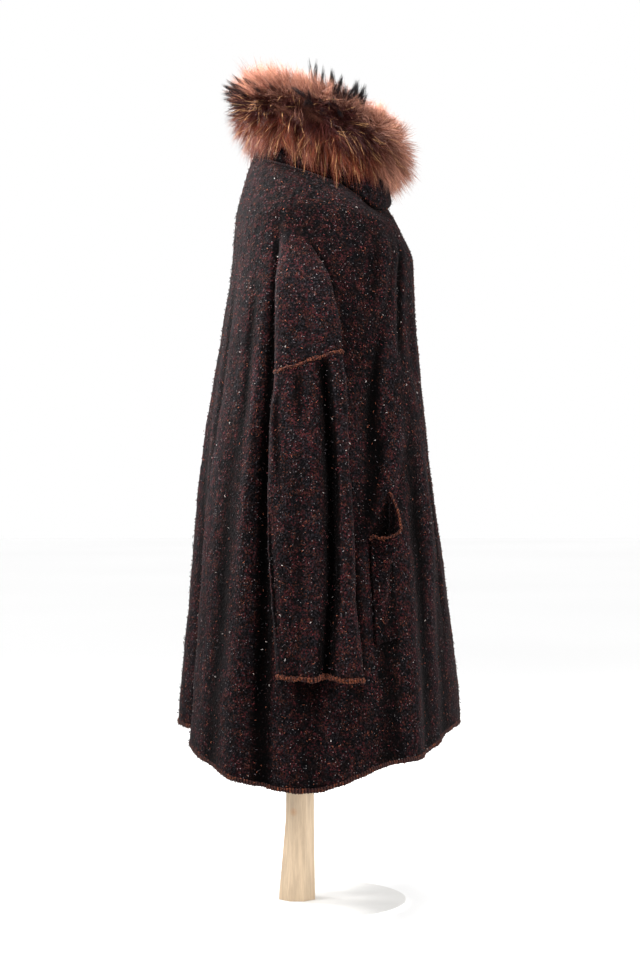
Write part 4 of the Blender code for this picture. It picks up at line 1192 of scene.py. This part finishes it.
def hem_half(side):
    """Half of the hem as a line in the cloth, with its outward and downward directions."""
    column = np.concatenate([np.linspace(HEM_LINE_START, VALLEY_BACK, LINE_POINTS["hem"]),
                             np.linspace(VALLEY_FRONT, CENTRE_FRONT, LINE_POINTS["hem"])])
    row = np.full(len(column), float(HEM_ROW))
    line = coat(column, row, side)
    across, up = HEM_STEPS
    along = coat(column + across, row, side) - coat(column - across, row, side)
    down = line - coat(column, row - up, side)
    seen = line - np.array([0.0, SIDE_Y, 0.0])
    seen[:, 2] = 0.0
    out, down = facing(unit(np.cross(along, down)), seen), unit(down)
    end = line[-1:] + np.array([-side * FRONT_EDGE_X * HEM_LINE_END, 0.0, 0.0])
    line = np.concatenate([in_wall(line, out), in_wall(end, out[-1:])])
    return line, np.concatenate([out, out[-1:]]), np.concatenate([down, down[-1:]])


def hem_bar(right, left):
    """Edging along the whole hem, from its two halves."""
    sizes = bpy.context.scene.coat_sizes
    joined = [np.concatenate([a[::-1], b]) for a, b in zip(right, left)]
    return stitched_bar("hem_edging_stitches", *joined, sizes.edging_height * HEM_EDGING[0],
                        sizes.edging_thickness * HEM_EDGING[1], HEM_EDGING_LIFT, wander=HEM_EDGING[2])


def front_bar(side, name):
    """Edging down a front edge."""
    sizes = bpy.context.scene.coat_sizes
    row = np.linspace(0.0, HEM_ROW, LINE_POINTS["front"])
    column = np.full(len(row), float(CENTRE_FRONT))
    line = coat(column, row, side)
    inner = coat(column - GRID_NUDGE, row, side)
    out = facing(unit(np.cross(line - inner, np.gradient(line, axis=0))), np.array([0.0, -1.0, 0.0]))
    away = np.tile([-side, 0.0, 0.0], (len(row), 1))
    return stitched_bar("front_edging_" + name + "_stitches", in_wall(line, out), out, away,
                        sizes.edging_height + FRONT_EDGING_MORE, sizes.edging_thickness, 0)


def cuff_bar(side, name):
    """Edging round a cuff."""
    turn = np.linspace(math.pi, -math.pi, LINE_POINTS["cuff"])
    line = sleeve_points(turn, np.ones(len(turn)), side)
    away = unit(line - sleeve_points(turn, np.full(len(turn), CUFF_LINE_ABOVE), side))
    along = np.gradient(line, axis=0)
    along[0] = along[-1] = line[1] - line[-2]
    out = unit(np.cross(along, away))
    out = out * (1 if ((line - line.mean(0)) * out).sum() > 0 else -1)
    return trim_bar("cuff_edging_" + name + "_stitches", line, out, away, CUFF_EDGING, closed=True)


def pocket_bar(side, name):
    """Edging along a pocket mouth."""
    across = np.linspace(0, 1, LINE_POINTS["pocket"])
    line = pocket_points(across, np.zeros(len(across)), side)
    below = pocket_points(across, np.full(len(across), POCKET_LINE_BELOW), side)
    along, up = POCKET_EDGING_LEAN
    away = unit(unit(line - below) * along + np.array([0.0, 0.0, up]))
    out = facing(unit(np.cross(np.gradient(line, axis=0), away)), np.array([side, 0.0, 0.0]))
    return trim_bar("pocket_edging_" + name + "_stitches", line, out, away, POCKET_EDGING)


def neck_bar():
    """A seam between the collar and the body; its yarn is almost black as painted shade for the crease under
    the collar.
    """
    reach = math.pi - COLLAR_GAP_ANGLE
    angle = np.linspace(-reach, reach, LINE_POINTS["neck"])
    line = collar_points(angle, np.zeros(len(angle)))
    away = unit(collar_points(angle, np.full(len(angle), SEAM_BESIDE)) - line)
    out = facing(unit(np.cross(np.gradient(line, axis=0), away)), line - line.mean(0))
    height, thickness, wander = NECK_SEAM
    return stitched_bar("neck_seam", in_wall(line, out), out, away, height, thickness, -height / 2,
                        wander=wander)


def armhole_bar(side, name):
    """Stitches over the seam of an armhole."""
    turn = np.linspace(ARMHOLE_SEAM_TURN, -ARMHOLE_SEAM_TURN, LINE_POINTS["armhole"])
    line = sleeve_points(turn, np.zeros(len(turn)), side)
    away = unit(line - sleeve_points(turn, np.full(len(turn), SEAM_BESIDE), side))
    middle = np.array([side * ARMHOLE_MIDDLE[0], ARMHOLE_MIDDLE[1], ARMHOLE_Z])
    out = facing(unit(np.cross(np.gradient(line, axis=0), away)), line - middle)
    height, thickness, wander = ARMHOLE_SEAM
    return stitched_bar("armhole_seam_" + name, line, out, away, height, thickness, -height / 2,
                        wander=wander)


class COAT_OT_edging(bpy.types.Operator):
    """Crocheted edging round the hem, cuffs, front edges and pocket mouths, and the seams"""

    bl_idname = "coat.edging"
    bl_label = "Edging"

    def execute(self, context):
        rust = edging_material("crochet edging", 0.49)
        dark = edging_material("dark crochet edging", 0.38)
        seam = edging_material("crochet seam", 0.46)
        hem_halves = []
        for side, name in SIDES:
            hem_halves.append(hem_half(side))
            finish_piece(front_bar(side, name), dark, ["front_edging_" + name])
            finish_piece(cuff_bar(side, name), rust, ["cuff_edging_" + name])
            finish_piece(pocket_bar(side, name), rust, ["pocket_edging_" + name])
        finish_piece(hem_bar(*hem_halves), dark, ["hem_edging"])
        # The neck seam's yarn is dark all along: painted shade in the crease under the collar.
        finish_piece(neck_bar(), edging_material("neck seam yarn", 0.0))
        for side, name in SIDES:
            finish_piece(armhole_bar(side, name), seam)
        return {"FINISHED"}


def joined_strips(name, vertices, triangles, tones):
    """One mesh from arrays of points, triangles and colours."""
    data = bpy.data.meshes.new(name)
    data.vertices.add(len(vertices))
    data.vertices.foreach_set("co", vertices.astype(np.float32).ravel())
    data.loops.add(triangles.size)
    data.loops.foreach_set("vertex_index", triangles.astype(np.int32).ravel())
    data.polygons.add(len(triangles))
    data.polygons.foreach_set("loop_start", np.arange(0, triangles.size, 3, dtype=np.int32))
    data.update(calc_edges=True)
    attribute = data.color_attributes.new("tone", "FLOAT_COLOR", "POINT")
    attribute.data.foreach_set("color", np.c_[tones, np.ones(len(tones))].astype(np.float32).ravel())
    data.validate()
    data.shade_smooth()
    piece = bpy.data.objects.new(name, data)
    bpy.context.scene.collection.objects.link(piece)
    return piece


def spots_on(piece, count, rng):
    """Points spread evenly over a sheet, with the cloth's directions there."""
    data = piece.data
    data.calc_loop_triangles()
    co = np.zeros(len(data.vertices) * 3, np.float32)
    data.vertices.foreach_get("co", co)
    co = co.reshape(-1, 3).astype(float)
    triangles = np.zeros(len(data.loop_triangles) * 3, np.int32)
    data.loop_triangles.foreach_get("vertices", triangles)
    a, b, c = (co[triangles.reshape(-1, 3)[:, i]] for i in range(3))
    cross = np.cross(b - a, c - a)
    area = np.linalg.norm(cross, axis=1)
    chosen = rng.choice(len(area), count, p=area / area.sum())
    u, v = rng.random((2, count, 1))
    u, v = np.where(u + v > 1, 1 - u, u), np.where(u + v > 1, 1 - v, v)
    points = a[chosen] + u * (b - a)[chosen] + v * (c - a)[chosen]
    return points, unit(cross[chosen])


def yarn_loops(name, pieces, shares, count, rng, kinds_of=LOOP_TONES, scale=1.0):
    """Small arched curls of yarn that stand on the knit: closed, of twelve triangles each."""
    sizes = bpy.context.scene.coat_sizes
    points, normals = [], []
    for piece, share in zip(pieces, shares):
        found, normal = spots_on(piece, int(count * share), rng)
        points.append(found)
        normals.append(normal)
    point, normal = np.concatenate(points), np.concatenate(normals)
    n = len(point)
    tangent = unit(np.cross(normal, rng.normal(size=(n, 3))))
    sideways = np.cross(normal, tangent)
    half = scale * sizes.loop_size * rng.uniform(0.6, 1.4, (n, 1))
    rise = half * rng.uniform(0.45, 1.05, (n, 1))
    thick = 0.00048 * rng.uniform(0.7, 1.3, (n, 1))
    skew = rng.normal(0, 0.4, (n, 1)) * half
    ends = [point - tangent * half - normal * 0.0005, point + tangent * half - normal * 0.0005]
    rings = []
    for place in (-0.45, 0.45):
        middle = point + tangent * half * place + normal * rise + sideways * skew
        for turn in (0.5, 2.6, 4.7):
            rings.append(middle + thick * (normal * math.sin(turn) + sideways * math.cos(turn)))
    vertices = np.stack([ends[0], *rings, ends[1]], axis=1).reshape(-1, 3)
    local = np.array([(0, 2, 1), (0, 3, 2), (0, 1, 3),
                      (1, 2, 5), (1, 5, 4), (2, 3, 6), (2, 6, 5), (3, 1, 4), (3, 4, 6),
                      (7, 4, 5), (7, 5, 6), (7, 6, 4)])
    triangles = (local[None] + 8 * np.arange(n)[:, None, None]).reshape(-1, 3)
    kinds = rng.choice(len(kinds_of), n, p=[share for _, share in kinds_of])
    tones = np.array([tone for tone, _ in kinds_of])[kinds] * rng.uniform(0.7, 1.3, (n, 1))
    return joined_strips(name, vertices, triangles, np.repeat(tones, 8, axis=0))


class COAT_OT_loops(bpy.types.Operator):
    """Curls of yarn all over the knit"""

    bl_idname = "coat.loops"
    bl_label = "Yarn loops"

    def execute(self, context):
        rng = np.random.default_rng(11)
        count = context.scene.coat_sizes.loop_count
        yarn = toned_material("loose yarn", 0.8, 0.04, 0.02, 0.004)
        groups = (
            ("back_loops", ("back_knit", "sleeve_right_knit", "sleeve_left_knit"), (0.68, 0.16, 0.16), 0.54),
            ("front_loops", ("front_right_knit", "front_left_knit", "collar_knit", "pocket_right_knit",
                             "pocket_left_knit"), (0.43, 0.43, 0.06, 0.04, 0.04), 0.46),
        )
        for name, names, shares, part in groups:
            pieces = [bpy.data.objects[piece] for piece in names]
            loops = yarn_loops(name, pieces, shares, int(count * part), rng)
            finish_piece(loops, yarn)
        edges = [piece for piece in bpy.data.objects
                 if piece.name.endswith("_stitches") or "_seam_" in piece.name]
        shares = [EDGING_LOOP_SHARES.get(piece.name.split("_")[0], 0.0) for piece in edges]
        loops = yarn_loops("edging_loops", edges, shares, EDGING_LOOPS, rng, EDGING_LOOP_TONES, 0.7)
        finish_piece(loops, yarn)
        return {"FINISHED"}


def fur_tones(angle, turn, along, rng, light):
    """The colour along each strand, from where it is rooted."""
    size = np.abs(np.degrees(angle))
    height, half = (np.radians(read(STRIPE, column, size)) for column in (1, 2))
    depth = read(STRIPE, 3, size)
    wander = 0.10 * np.sin(3.0 * angle + 0.7) + 0.07 * np.sin(7.0 * angle + 2.0)
    away = np.abs(turn - height - wander + rng.normal(0, 0.13, turn.shape))
    dark = (1 - smooth(away, 0.6 * half, 1.4 * half)) * depth
    over = smooth(turn - height, -0.1, 0.45)
    over = np.maximum(over, smooth(size, 128, 150) * 0.80)
    gold = np.where(rng.random(turn.shape) < GOLD_SHARE * (1 - 0.7 * over), 1.0, 0.0)
    tones = np.zeros((*turn.shape, len(along), 3))
    for index, place in enumerate(along):
        low, t = (0, place / 0.5) if place < 0.5 else (1, (place - 0.5) / 0.5)
        pale, stripe, warm = (
            np.array(table[low]) * (1 - t) + np.array(table[low + 1]) * t
            for table in (FUR_PALE, FUR_DARK, FUR_WARM))
        ground = warm + (pale - warm) * (over * FUR_PALENESS)[:, None]
        ground = ground + (stripe - ground) * dark[:, None]
        golden = (gold * 0.8 * smooth(place, 0.2, 0.6))[:, None]
        tones[:, index] = ground + (np.array(FUR_GOLD) - ground) * golden
    return tones * light[:, None, None]


def fur_depth(angle, turn):
    """The fur is shorter over the front's upper side."""
    beside = hump(np.abs(angle), FUR_SHORT_ANGLE, 0.55)
    return 1 - FUR_FRONT_SHORTER * beside * hump(turn, FUR_SHORT_TURN, 0.7)


def strands(name, roots, bends, tips, width, tones, rng, cuts=(0.0, 0.36, 0.70)):
    """Tapered strands on curves from root to tip: two points for each cut and one at the tip."""
    n = len(roots)
    spin = unit(rng.normal(size=(n, 3)))
    rows = []
    for t in cuts:
        centre = (1 - t) ** 2 * roots + 2 * t * (1 - t) * bends + t**2 * tips
        tangent = unit(2 * (1 - t) * (bends - roots) + 2 * t * (tips - bends))
        across = unit(np.cross(tangent, spin))
        reach = (width / 2 * (1 - STRAND_TAPER * t))[:, None]
        rows += [centre - across * reach, centre + across * reach]
    rows.append(tips)
    vertices = np.stack(rows, axis=1)
    per = len(rows)
    local = []
    for k in range(len(cuts) - 1):
        a = 2 * k
        local += [(a, a + 1, a + 3), (a, a + 3, a + 2)]
    local.append((per - 3, per - 2, per - 1))
    triangles = (np.array(local)[None] + per * np.arange(n)[:, None, None]).reshape(-1, 3)
    picked = np.repeat(np.arange(len(cuts)), 2).tolist() + [len(cuts)]
    return joined_strips(name, vertices.reshape(-1, 3), triangles, tones[:, picked].reshape(-1, 3))


class COAT_OT_fur(bpy.types.Operator):
    """The fur strip over the collar: its skin, underfur, guard hair and dark tufts"""

    bl_idname = "coat.fur"
    bl_label = "Fur"

    def execute(self, context):
        sizes = context.scene.fur_sizes
        rng = np.random.default_rng(FUR_SEED)
        reach = math.pi - COLLAR_GAP_ANGLE
        skin = cloth("fur_skin", np.linspace(-reach, reach, 121),
                     np.linspace(PELT_TURNS[1], PELT_TURNS[0], 25),
                     lambda angle, turn: fur_points(angle, turn, PELT_SHARE), bumps=False)
        skin_tone = toned_material("fur skin", 0.9, 0.05, 0.0, 0.01)
        tones = np.tile(FUR_SKIN_TONE, (len(skin.data.vertices), 1))
        attribute = skin.data.color_attributes.new("tone", "FLOAT_COLOR", "POINT")
        attribute.data.foreach_set("color", np.c_[tones, np.ones(len(tones))].astype(np.float32).ravel())
        finish_piece(skin, skin_tone, ["fur_collar"])
        hair = toned_material("fur", 0.45, 0.12, 0.0, 0.02)

        locks = sizes.lock_count
        lock_angle = rng.uniform(-reach, reach, locks)
        lock_turn = rng.uniform(*LOCK_TURNS, locks)
        lock_lean = np.stack([rng.normal(0, spread, locks) for spread in LOCK_LEAN], axis=1)
        lock_length = rng.normal(1.0, LOCK_LENGTH_SPREAD, locks)

        def grown(count, spread, gather, low, high, droop):
            """Strands that gather into the locks: where each is rooted, and its curve."""
            lock = rng.integers(0, locks, count)
            angle = lock_angle[lock] + rng.normal(0, spread, count)
            turn = lock_turn[lock] + rng.normal(0, spread * 1.9, count)
            angle = np.clip(angle, -reach, reach)
            turn = np.clip(turn, *HAIR_TURNS)
            roots = fur_points(angle, turn, PELT_SHARE)
            size = lock_length[lock] * rng.uniform(low, high, count)
            tip_angle = lock_angle[lock] + lock_lean[lock, 0] + (angle - lock_angle[lock]) * (1 - gather)
            tip_turn = lock_turn[lock] + lock_lean[lock, 1] + (turn - lock_turn[lock]) * (1 - gather)
            tip_angle = np.clip(tip_angle + rng.normal(0, 0.03, count), -reach - FUR_CROSS, reach + FUR_CROSS)
            tip_turn = tip_turn + rng.normal(0, 0.06, count)
            tips = fur_points(tip_angle, tip_turn, size * fur_depth(tip_angle, tip_turn))
            tips[:, 2] -= droop * rng.uniform(0.3, 1.0, count) * smooth(np.cos(turn), -0.2, 0.6)
            hang = FUR_HANG * (1 - (1 - FUR_HANG_END) * smooth(np.abs(np.degrees(angle)), 100, 145))
            tips[:, 2] -= hang * rng.uniform(0.4, 1.0, count) * smooth(-turn, -0.35, 0.9)
            straight = fur_points(angle, turn, (size + PELT_SHARE) / 2)
            bends = straight * 0.75 + (roots + tips) / 2 * 0.25
            return angle, turn, roots, bends, tips

        for name, setting, *growth, light, wide in HAIR_LAYERS:
            count = getattr(sizes, setting)
            angle, turn, roots, bends, tips = grown(count, *growth)
            tone = fur_tones(angle, turn, STRAND_CUTS, rng, rng.uniform(*light, count))
            width = sizes.strand * rng.uniform(*wide, count)
            finish_piece(strands(name, roots, bends, tips, width, tone, rng), hair)

        count = sizes.tuft_count
        places, lengths = [], []
        for side, around, over, wide, high, tufts, low, top in TUFTS:
            around = side * np.radians(around) + np.radians(rng.normal(0, wide, tufts))
            places.append(np.stack([around, np.radians(over + rng.normal(0, high, tufts))], axis=1))
            lengths.append(rng.uniform(low, top, tufts))
        places, lengths = np.concatenate(places), np.concatenate(lengths)
        chosen = rng.integers(0, len(places), count)
        angle = np.clip(places[chosen, 0] + rng.normal(0, 0.026, count), -reach, reach)
        turn = places[chosen, 1] + rng.normal(0, 0.05, count)
        size = lengths[chosen] * rng.uniform(0.88, 1.03, count)
        roots = fur_points(angle, turn, TUFT_ROOT)
        lean = rng.normal(0, 0.06, (len(places), 2))[chosen]
        tips = fur_points(places[chosen, 0] + lean[:, 0] + rng.normal(0, 0.012, count),
                          places[chosen, 1] + lean[:, 1] + rng.normal(0, 0.02, count), size)
        bends = (roots + tips) / 2 + rng.normal(0, 0.0015, (count, 3))
        tone = np.array(FUR_BLACK)[None] * rng.uniform(0.6, 1.5, (count, 1, 1))
        width = sizes.strand * rng.uniform(0.6, 1.0, count)
        black = strands("fur_dark_tips", roots, bends, tips, width, tone, rng)
        finish_piece(black, hair)
        return {"FINISHED"}


class COAT_OT_stand(bpy.types.Operator):
    """Finishes of the dress form, its post and its base"""

    bl_idname = "coat.stand"
    bl_label = "Dress form and stand"

    def execute(self, context):
        colours = context.scene.coat_colours
        made, nodes, links, shader, place = new_material("linen cover", 0.85)
        threads = []
        for axis in ("X", "Z"):
            wave = nodes.new("ShaderNodeTexWave")
            wave.bands_direction = axis
            wave.inputs["Scale"].default_value = 260.0
            wave.inputs["Distortion"].default_value = 1.2
            wave.inputs["Detail"].default_value = 1.0
            links.new(place, wave.inputs["Vector"])
            threads.append(wave.outputs["Fac"])
        weave = product(nodes, links, threads[0], threads[1], "ADD")
        patchy = ramp(nodes, links, noise_node(nodes, links, place, 0.03, 3.0), ((0.35, 0.88), (0.65, 1.0)))
        links.new(blended(nodes, links, 1.0, patchy, colours.form, "MULTIPLY"), shader.inputs["Base Color"])
        links.new(bumped(nodes, links, weave, 0.0004, 0.5), shader.inputs["Normal"])
        self.dress("dress_form", made, "form_cover")

        made, nodes, links, shader, place = new_material("pale wood", 0.48)
        mapping = nodes.new("ShaderNodeMapping")
        mapping.inputs["Scale"].default_value = (1.0, 1.0, 0.07)
        links.new(place, mapping.inputs["Vector"])
        grain = noise_node(nodes, links, mapping.outputs["Vector"], 0.0045, 5.0, 0.6)
        fine = noise_node(nodes, links, mapping.outputs["Vector"], 0.0012, 3.0, 0.6, 2.0)
        dark_grain = tuple(0.80 * value for value in colours.wood)
        lines = ramp(nodes, links, grain, ((0.40, dark_grain), (0.60, tuple(colours.wood))))
        colour = blended(nodes, links, ramp(nodes, links, fine, ((0.4, 0.90), (0.7, 1.0))), (0, 0, 0), lines)
        knot = nodes.new("ShaderNodeVectorMath")
        knot.operation = "DISTANCE"
        knot.inputs[1].default_value = (-0.021, 0.011, 0.138)
        links.new(place, knot.inputs[0])
        eye = ramp(nodes, links, knot.outputs["Value"], ((0.0020, 1.0), (0.0065, 0.0)))
        colour = blended(nodes, links, eye, colour, (0.36, 0.20, 0.10))
        links.new(colour, shader.inputs["Base Color"])
        links.new(bumped(nodes, links, grain, 0.0004, 0.3), shader.inputs["Normal"])
        self.dress("post", made, "post_wood")

        made, nodes, links, shader, place = new_material("powder coat", 0.42)
        patchy = ramp(nodes, links, noise_node(nodes, links, place, 0.05, 2.0), ((0.3, 0.94), (0.7, 1.0)))
        links.new(blended(nodes, links, 1.0, patchy, colours.plate, "MULTIPLY"), shader.inputs["Base Color"])
        links.new(bumped(nodes, links, noise_node(nodes, links, place, 0.0009, 2.0), 0.0002, 0.25),
                  shader.inputs["Normal"])
        self.dress("base_plate", made, "base_paint")
        return {"FINISHED"}

    def dress(self, node, made, slot):
        piece = frame["nodes"][node]
        piece.data.materials.clear()
        piece.data.materials.append(made)


class COAT_OT_stage(bpy.types.Operator):
    """Camera, pale floor and soft studio light"""

    bl_idname = "coat.stage"
    bl_label = "Studio"

    def execute(self, context):
        scene = context.scene
        settings = scene.stage_light
        camera = bpy.data.objects.new("camera", bpy.data.cameras.new("camera"))
        camera.data.lens = CAMERA_LENS
        camera.data.sensor_width = CAMERA_SENSOR
        camera.location = CAMERA_PLACE
        camera.rotation_euler = (math.pi / 2, 0.0, -math.pi / 2)
        scene.collection.objects.link(camera)
        scene.camera = camera
        mesh = bmesh.new()
        bmesh.ops.create_grid(mesh, x_segments=2, y_segments=2, size=FLOOR_SIZE / 2)
        floor = put_mesh("floor", mesh)
        made, nodes, links, shader, place = new_material("pale floor", 0.8)
        tint = ramp(nodes, links, noise_node(nodes, links, place, 2.0, 1.0), ((0.3, (0.97, 0.97, 0.97)),
                                                                              (0.7, (0.99, 0.99, 0.99))))
        links.new(tint, shader.inputs["Base Color"])
        floor.data.materials.append(made)
        for name, setting, place, target, width, spread in LIGHTS:
            light = bpy.data.lights.new(name, "AREA")
            light.energy = getattr(settings, setting)
            light.size = width
            light.spread = math.radians(spread)
            lamp = bpy.data.objects.new(name, light)
            lamp.location = place
            lamp.rotation_euler = (Vector(target) - Vector(place)).to_track_quat("-Z", "Y").to_euler()
            scene.collection.objects.link(lamp)
        world = bpy.data.worlds.new("studio")
        world.use_nodes = True
        background = world.node_tree.nodes["Background"]
        background.inputs["Color"].default_value = (1.0, 1.0, 1.0, 1.0)
        background.inputs["Strength"].default_value = settings.ambient
        scene.world = world
        scene.view_settings.view_transform = "Standard"
        return {"FINISHED"}


class COAT_PT_panel(bpy.types.Panel):
    """The coat's steps and settings"""

    bl_idname = "COAT_PT_panel"
    bl_label = "Bouclé coat"
    bl_space_type = "VIEW_3D"
    bl_region_type = "UI"
    bl_category = "Coat"

    def draw(self, context):
        for step in STEPS:
            self.layout.operator(step.bl_idname)
        for group in GROUPS:
            settings = getattr(context.scene, group)
            for name in settings.__annotations__:
                self.layout.prop(settings, name)


GROUPS = {
    "coat_sizes": CoatSizes,
    "fur_sizes": FurSizes,
    "coat_colours": CoatColours,
    "stage_light": StageLight,
}
STEPS = (
    COAT_OT_body,
    COAT_OT_sleeves,
    COAT_OT_collar,
    COAT_OT_pockets,
    COAT_OT_edging,
    COAT_OT_loops,
    COAT_OT_fur,
    COAT_OT_stand,
    COAT_OT_stage,
)


def register():
    for group in GROUPS.values():
        bpy.utils.register_class(group)
    for step in STEPS:
        bpy.utils.register_class(step)
    bpy.utils.register_class(COAT_PT_panel)
    for name, group in GROUPS.items():
        setattr(bpy.types.Scene, name, bpy.props.PointerProperty(type=group))


def unregister():
    for name in GROUPS:
        delattr(bpy.types.Scene, name)
    bpy.utils.unregister_class(COAT_PT_panel)
    for step in reversed(STEPS):
        bpy.utils.unregister_class(step)
    for group in reversed(list(GROUPS.values())):
        bpy.utils.unregister_class(group)


def main():
    register()
    bpy.ops.coat.body()
    bpy.ops.coat.sleeves()
    bpy.ops.coat.collar()
    bpy.ops.coat.pockets()
    bpy.ops.coat.edging()
    bpy.ops.coat.loops()
    bpy.ops.coat.fur()
    bpy.ops.coat.stand()
    bpy.ops.coat.stage()


if __name__ == "__main__":
    main()
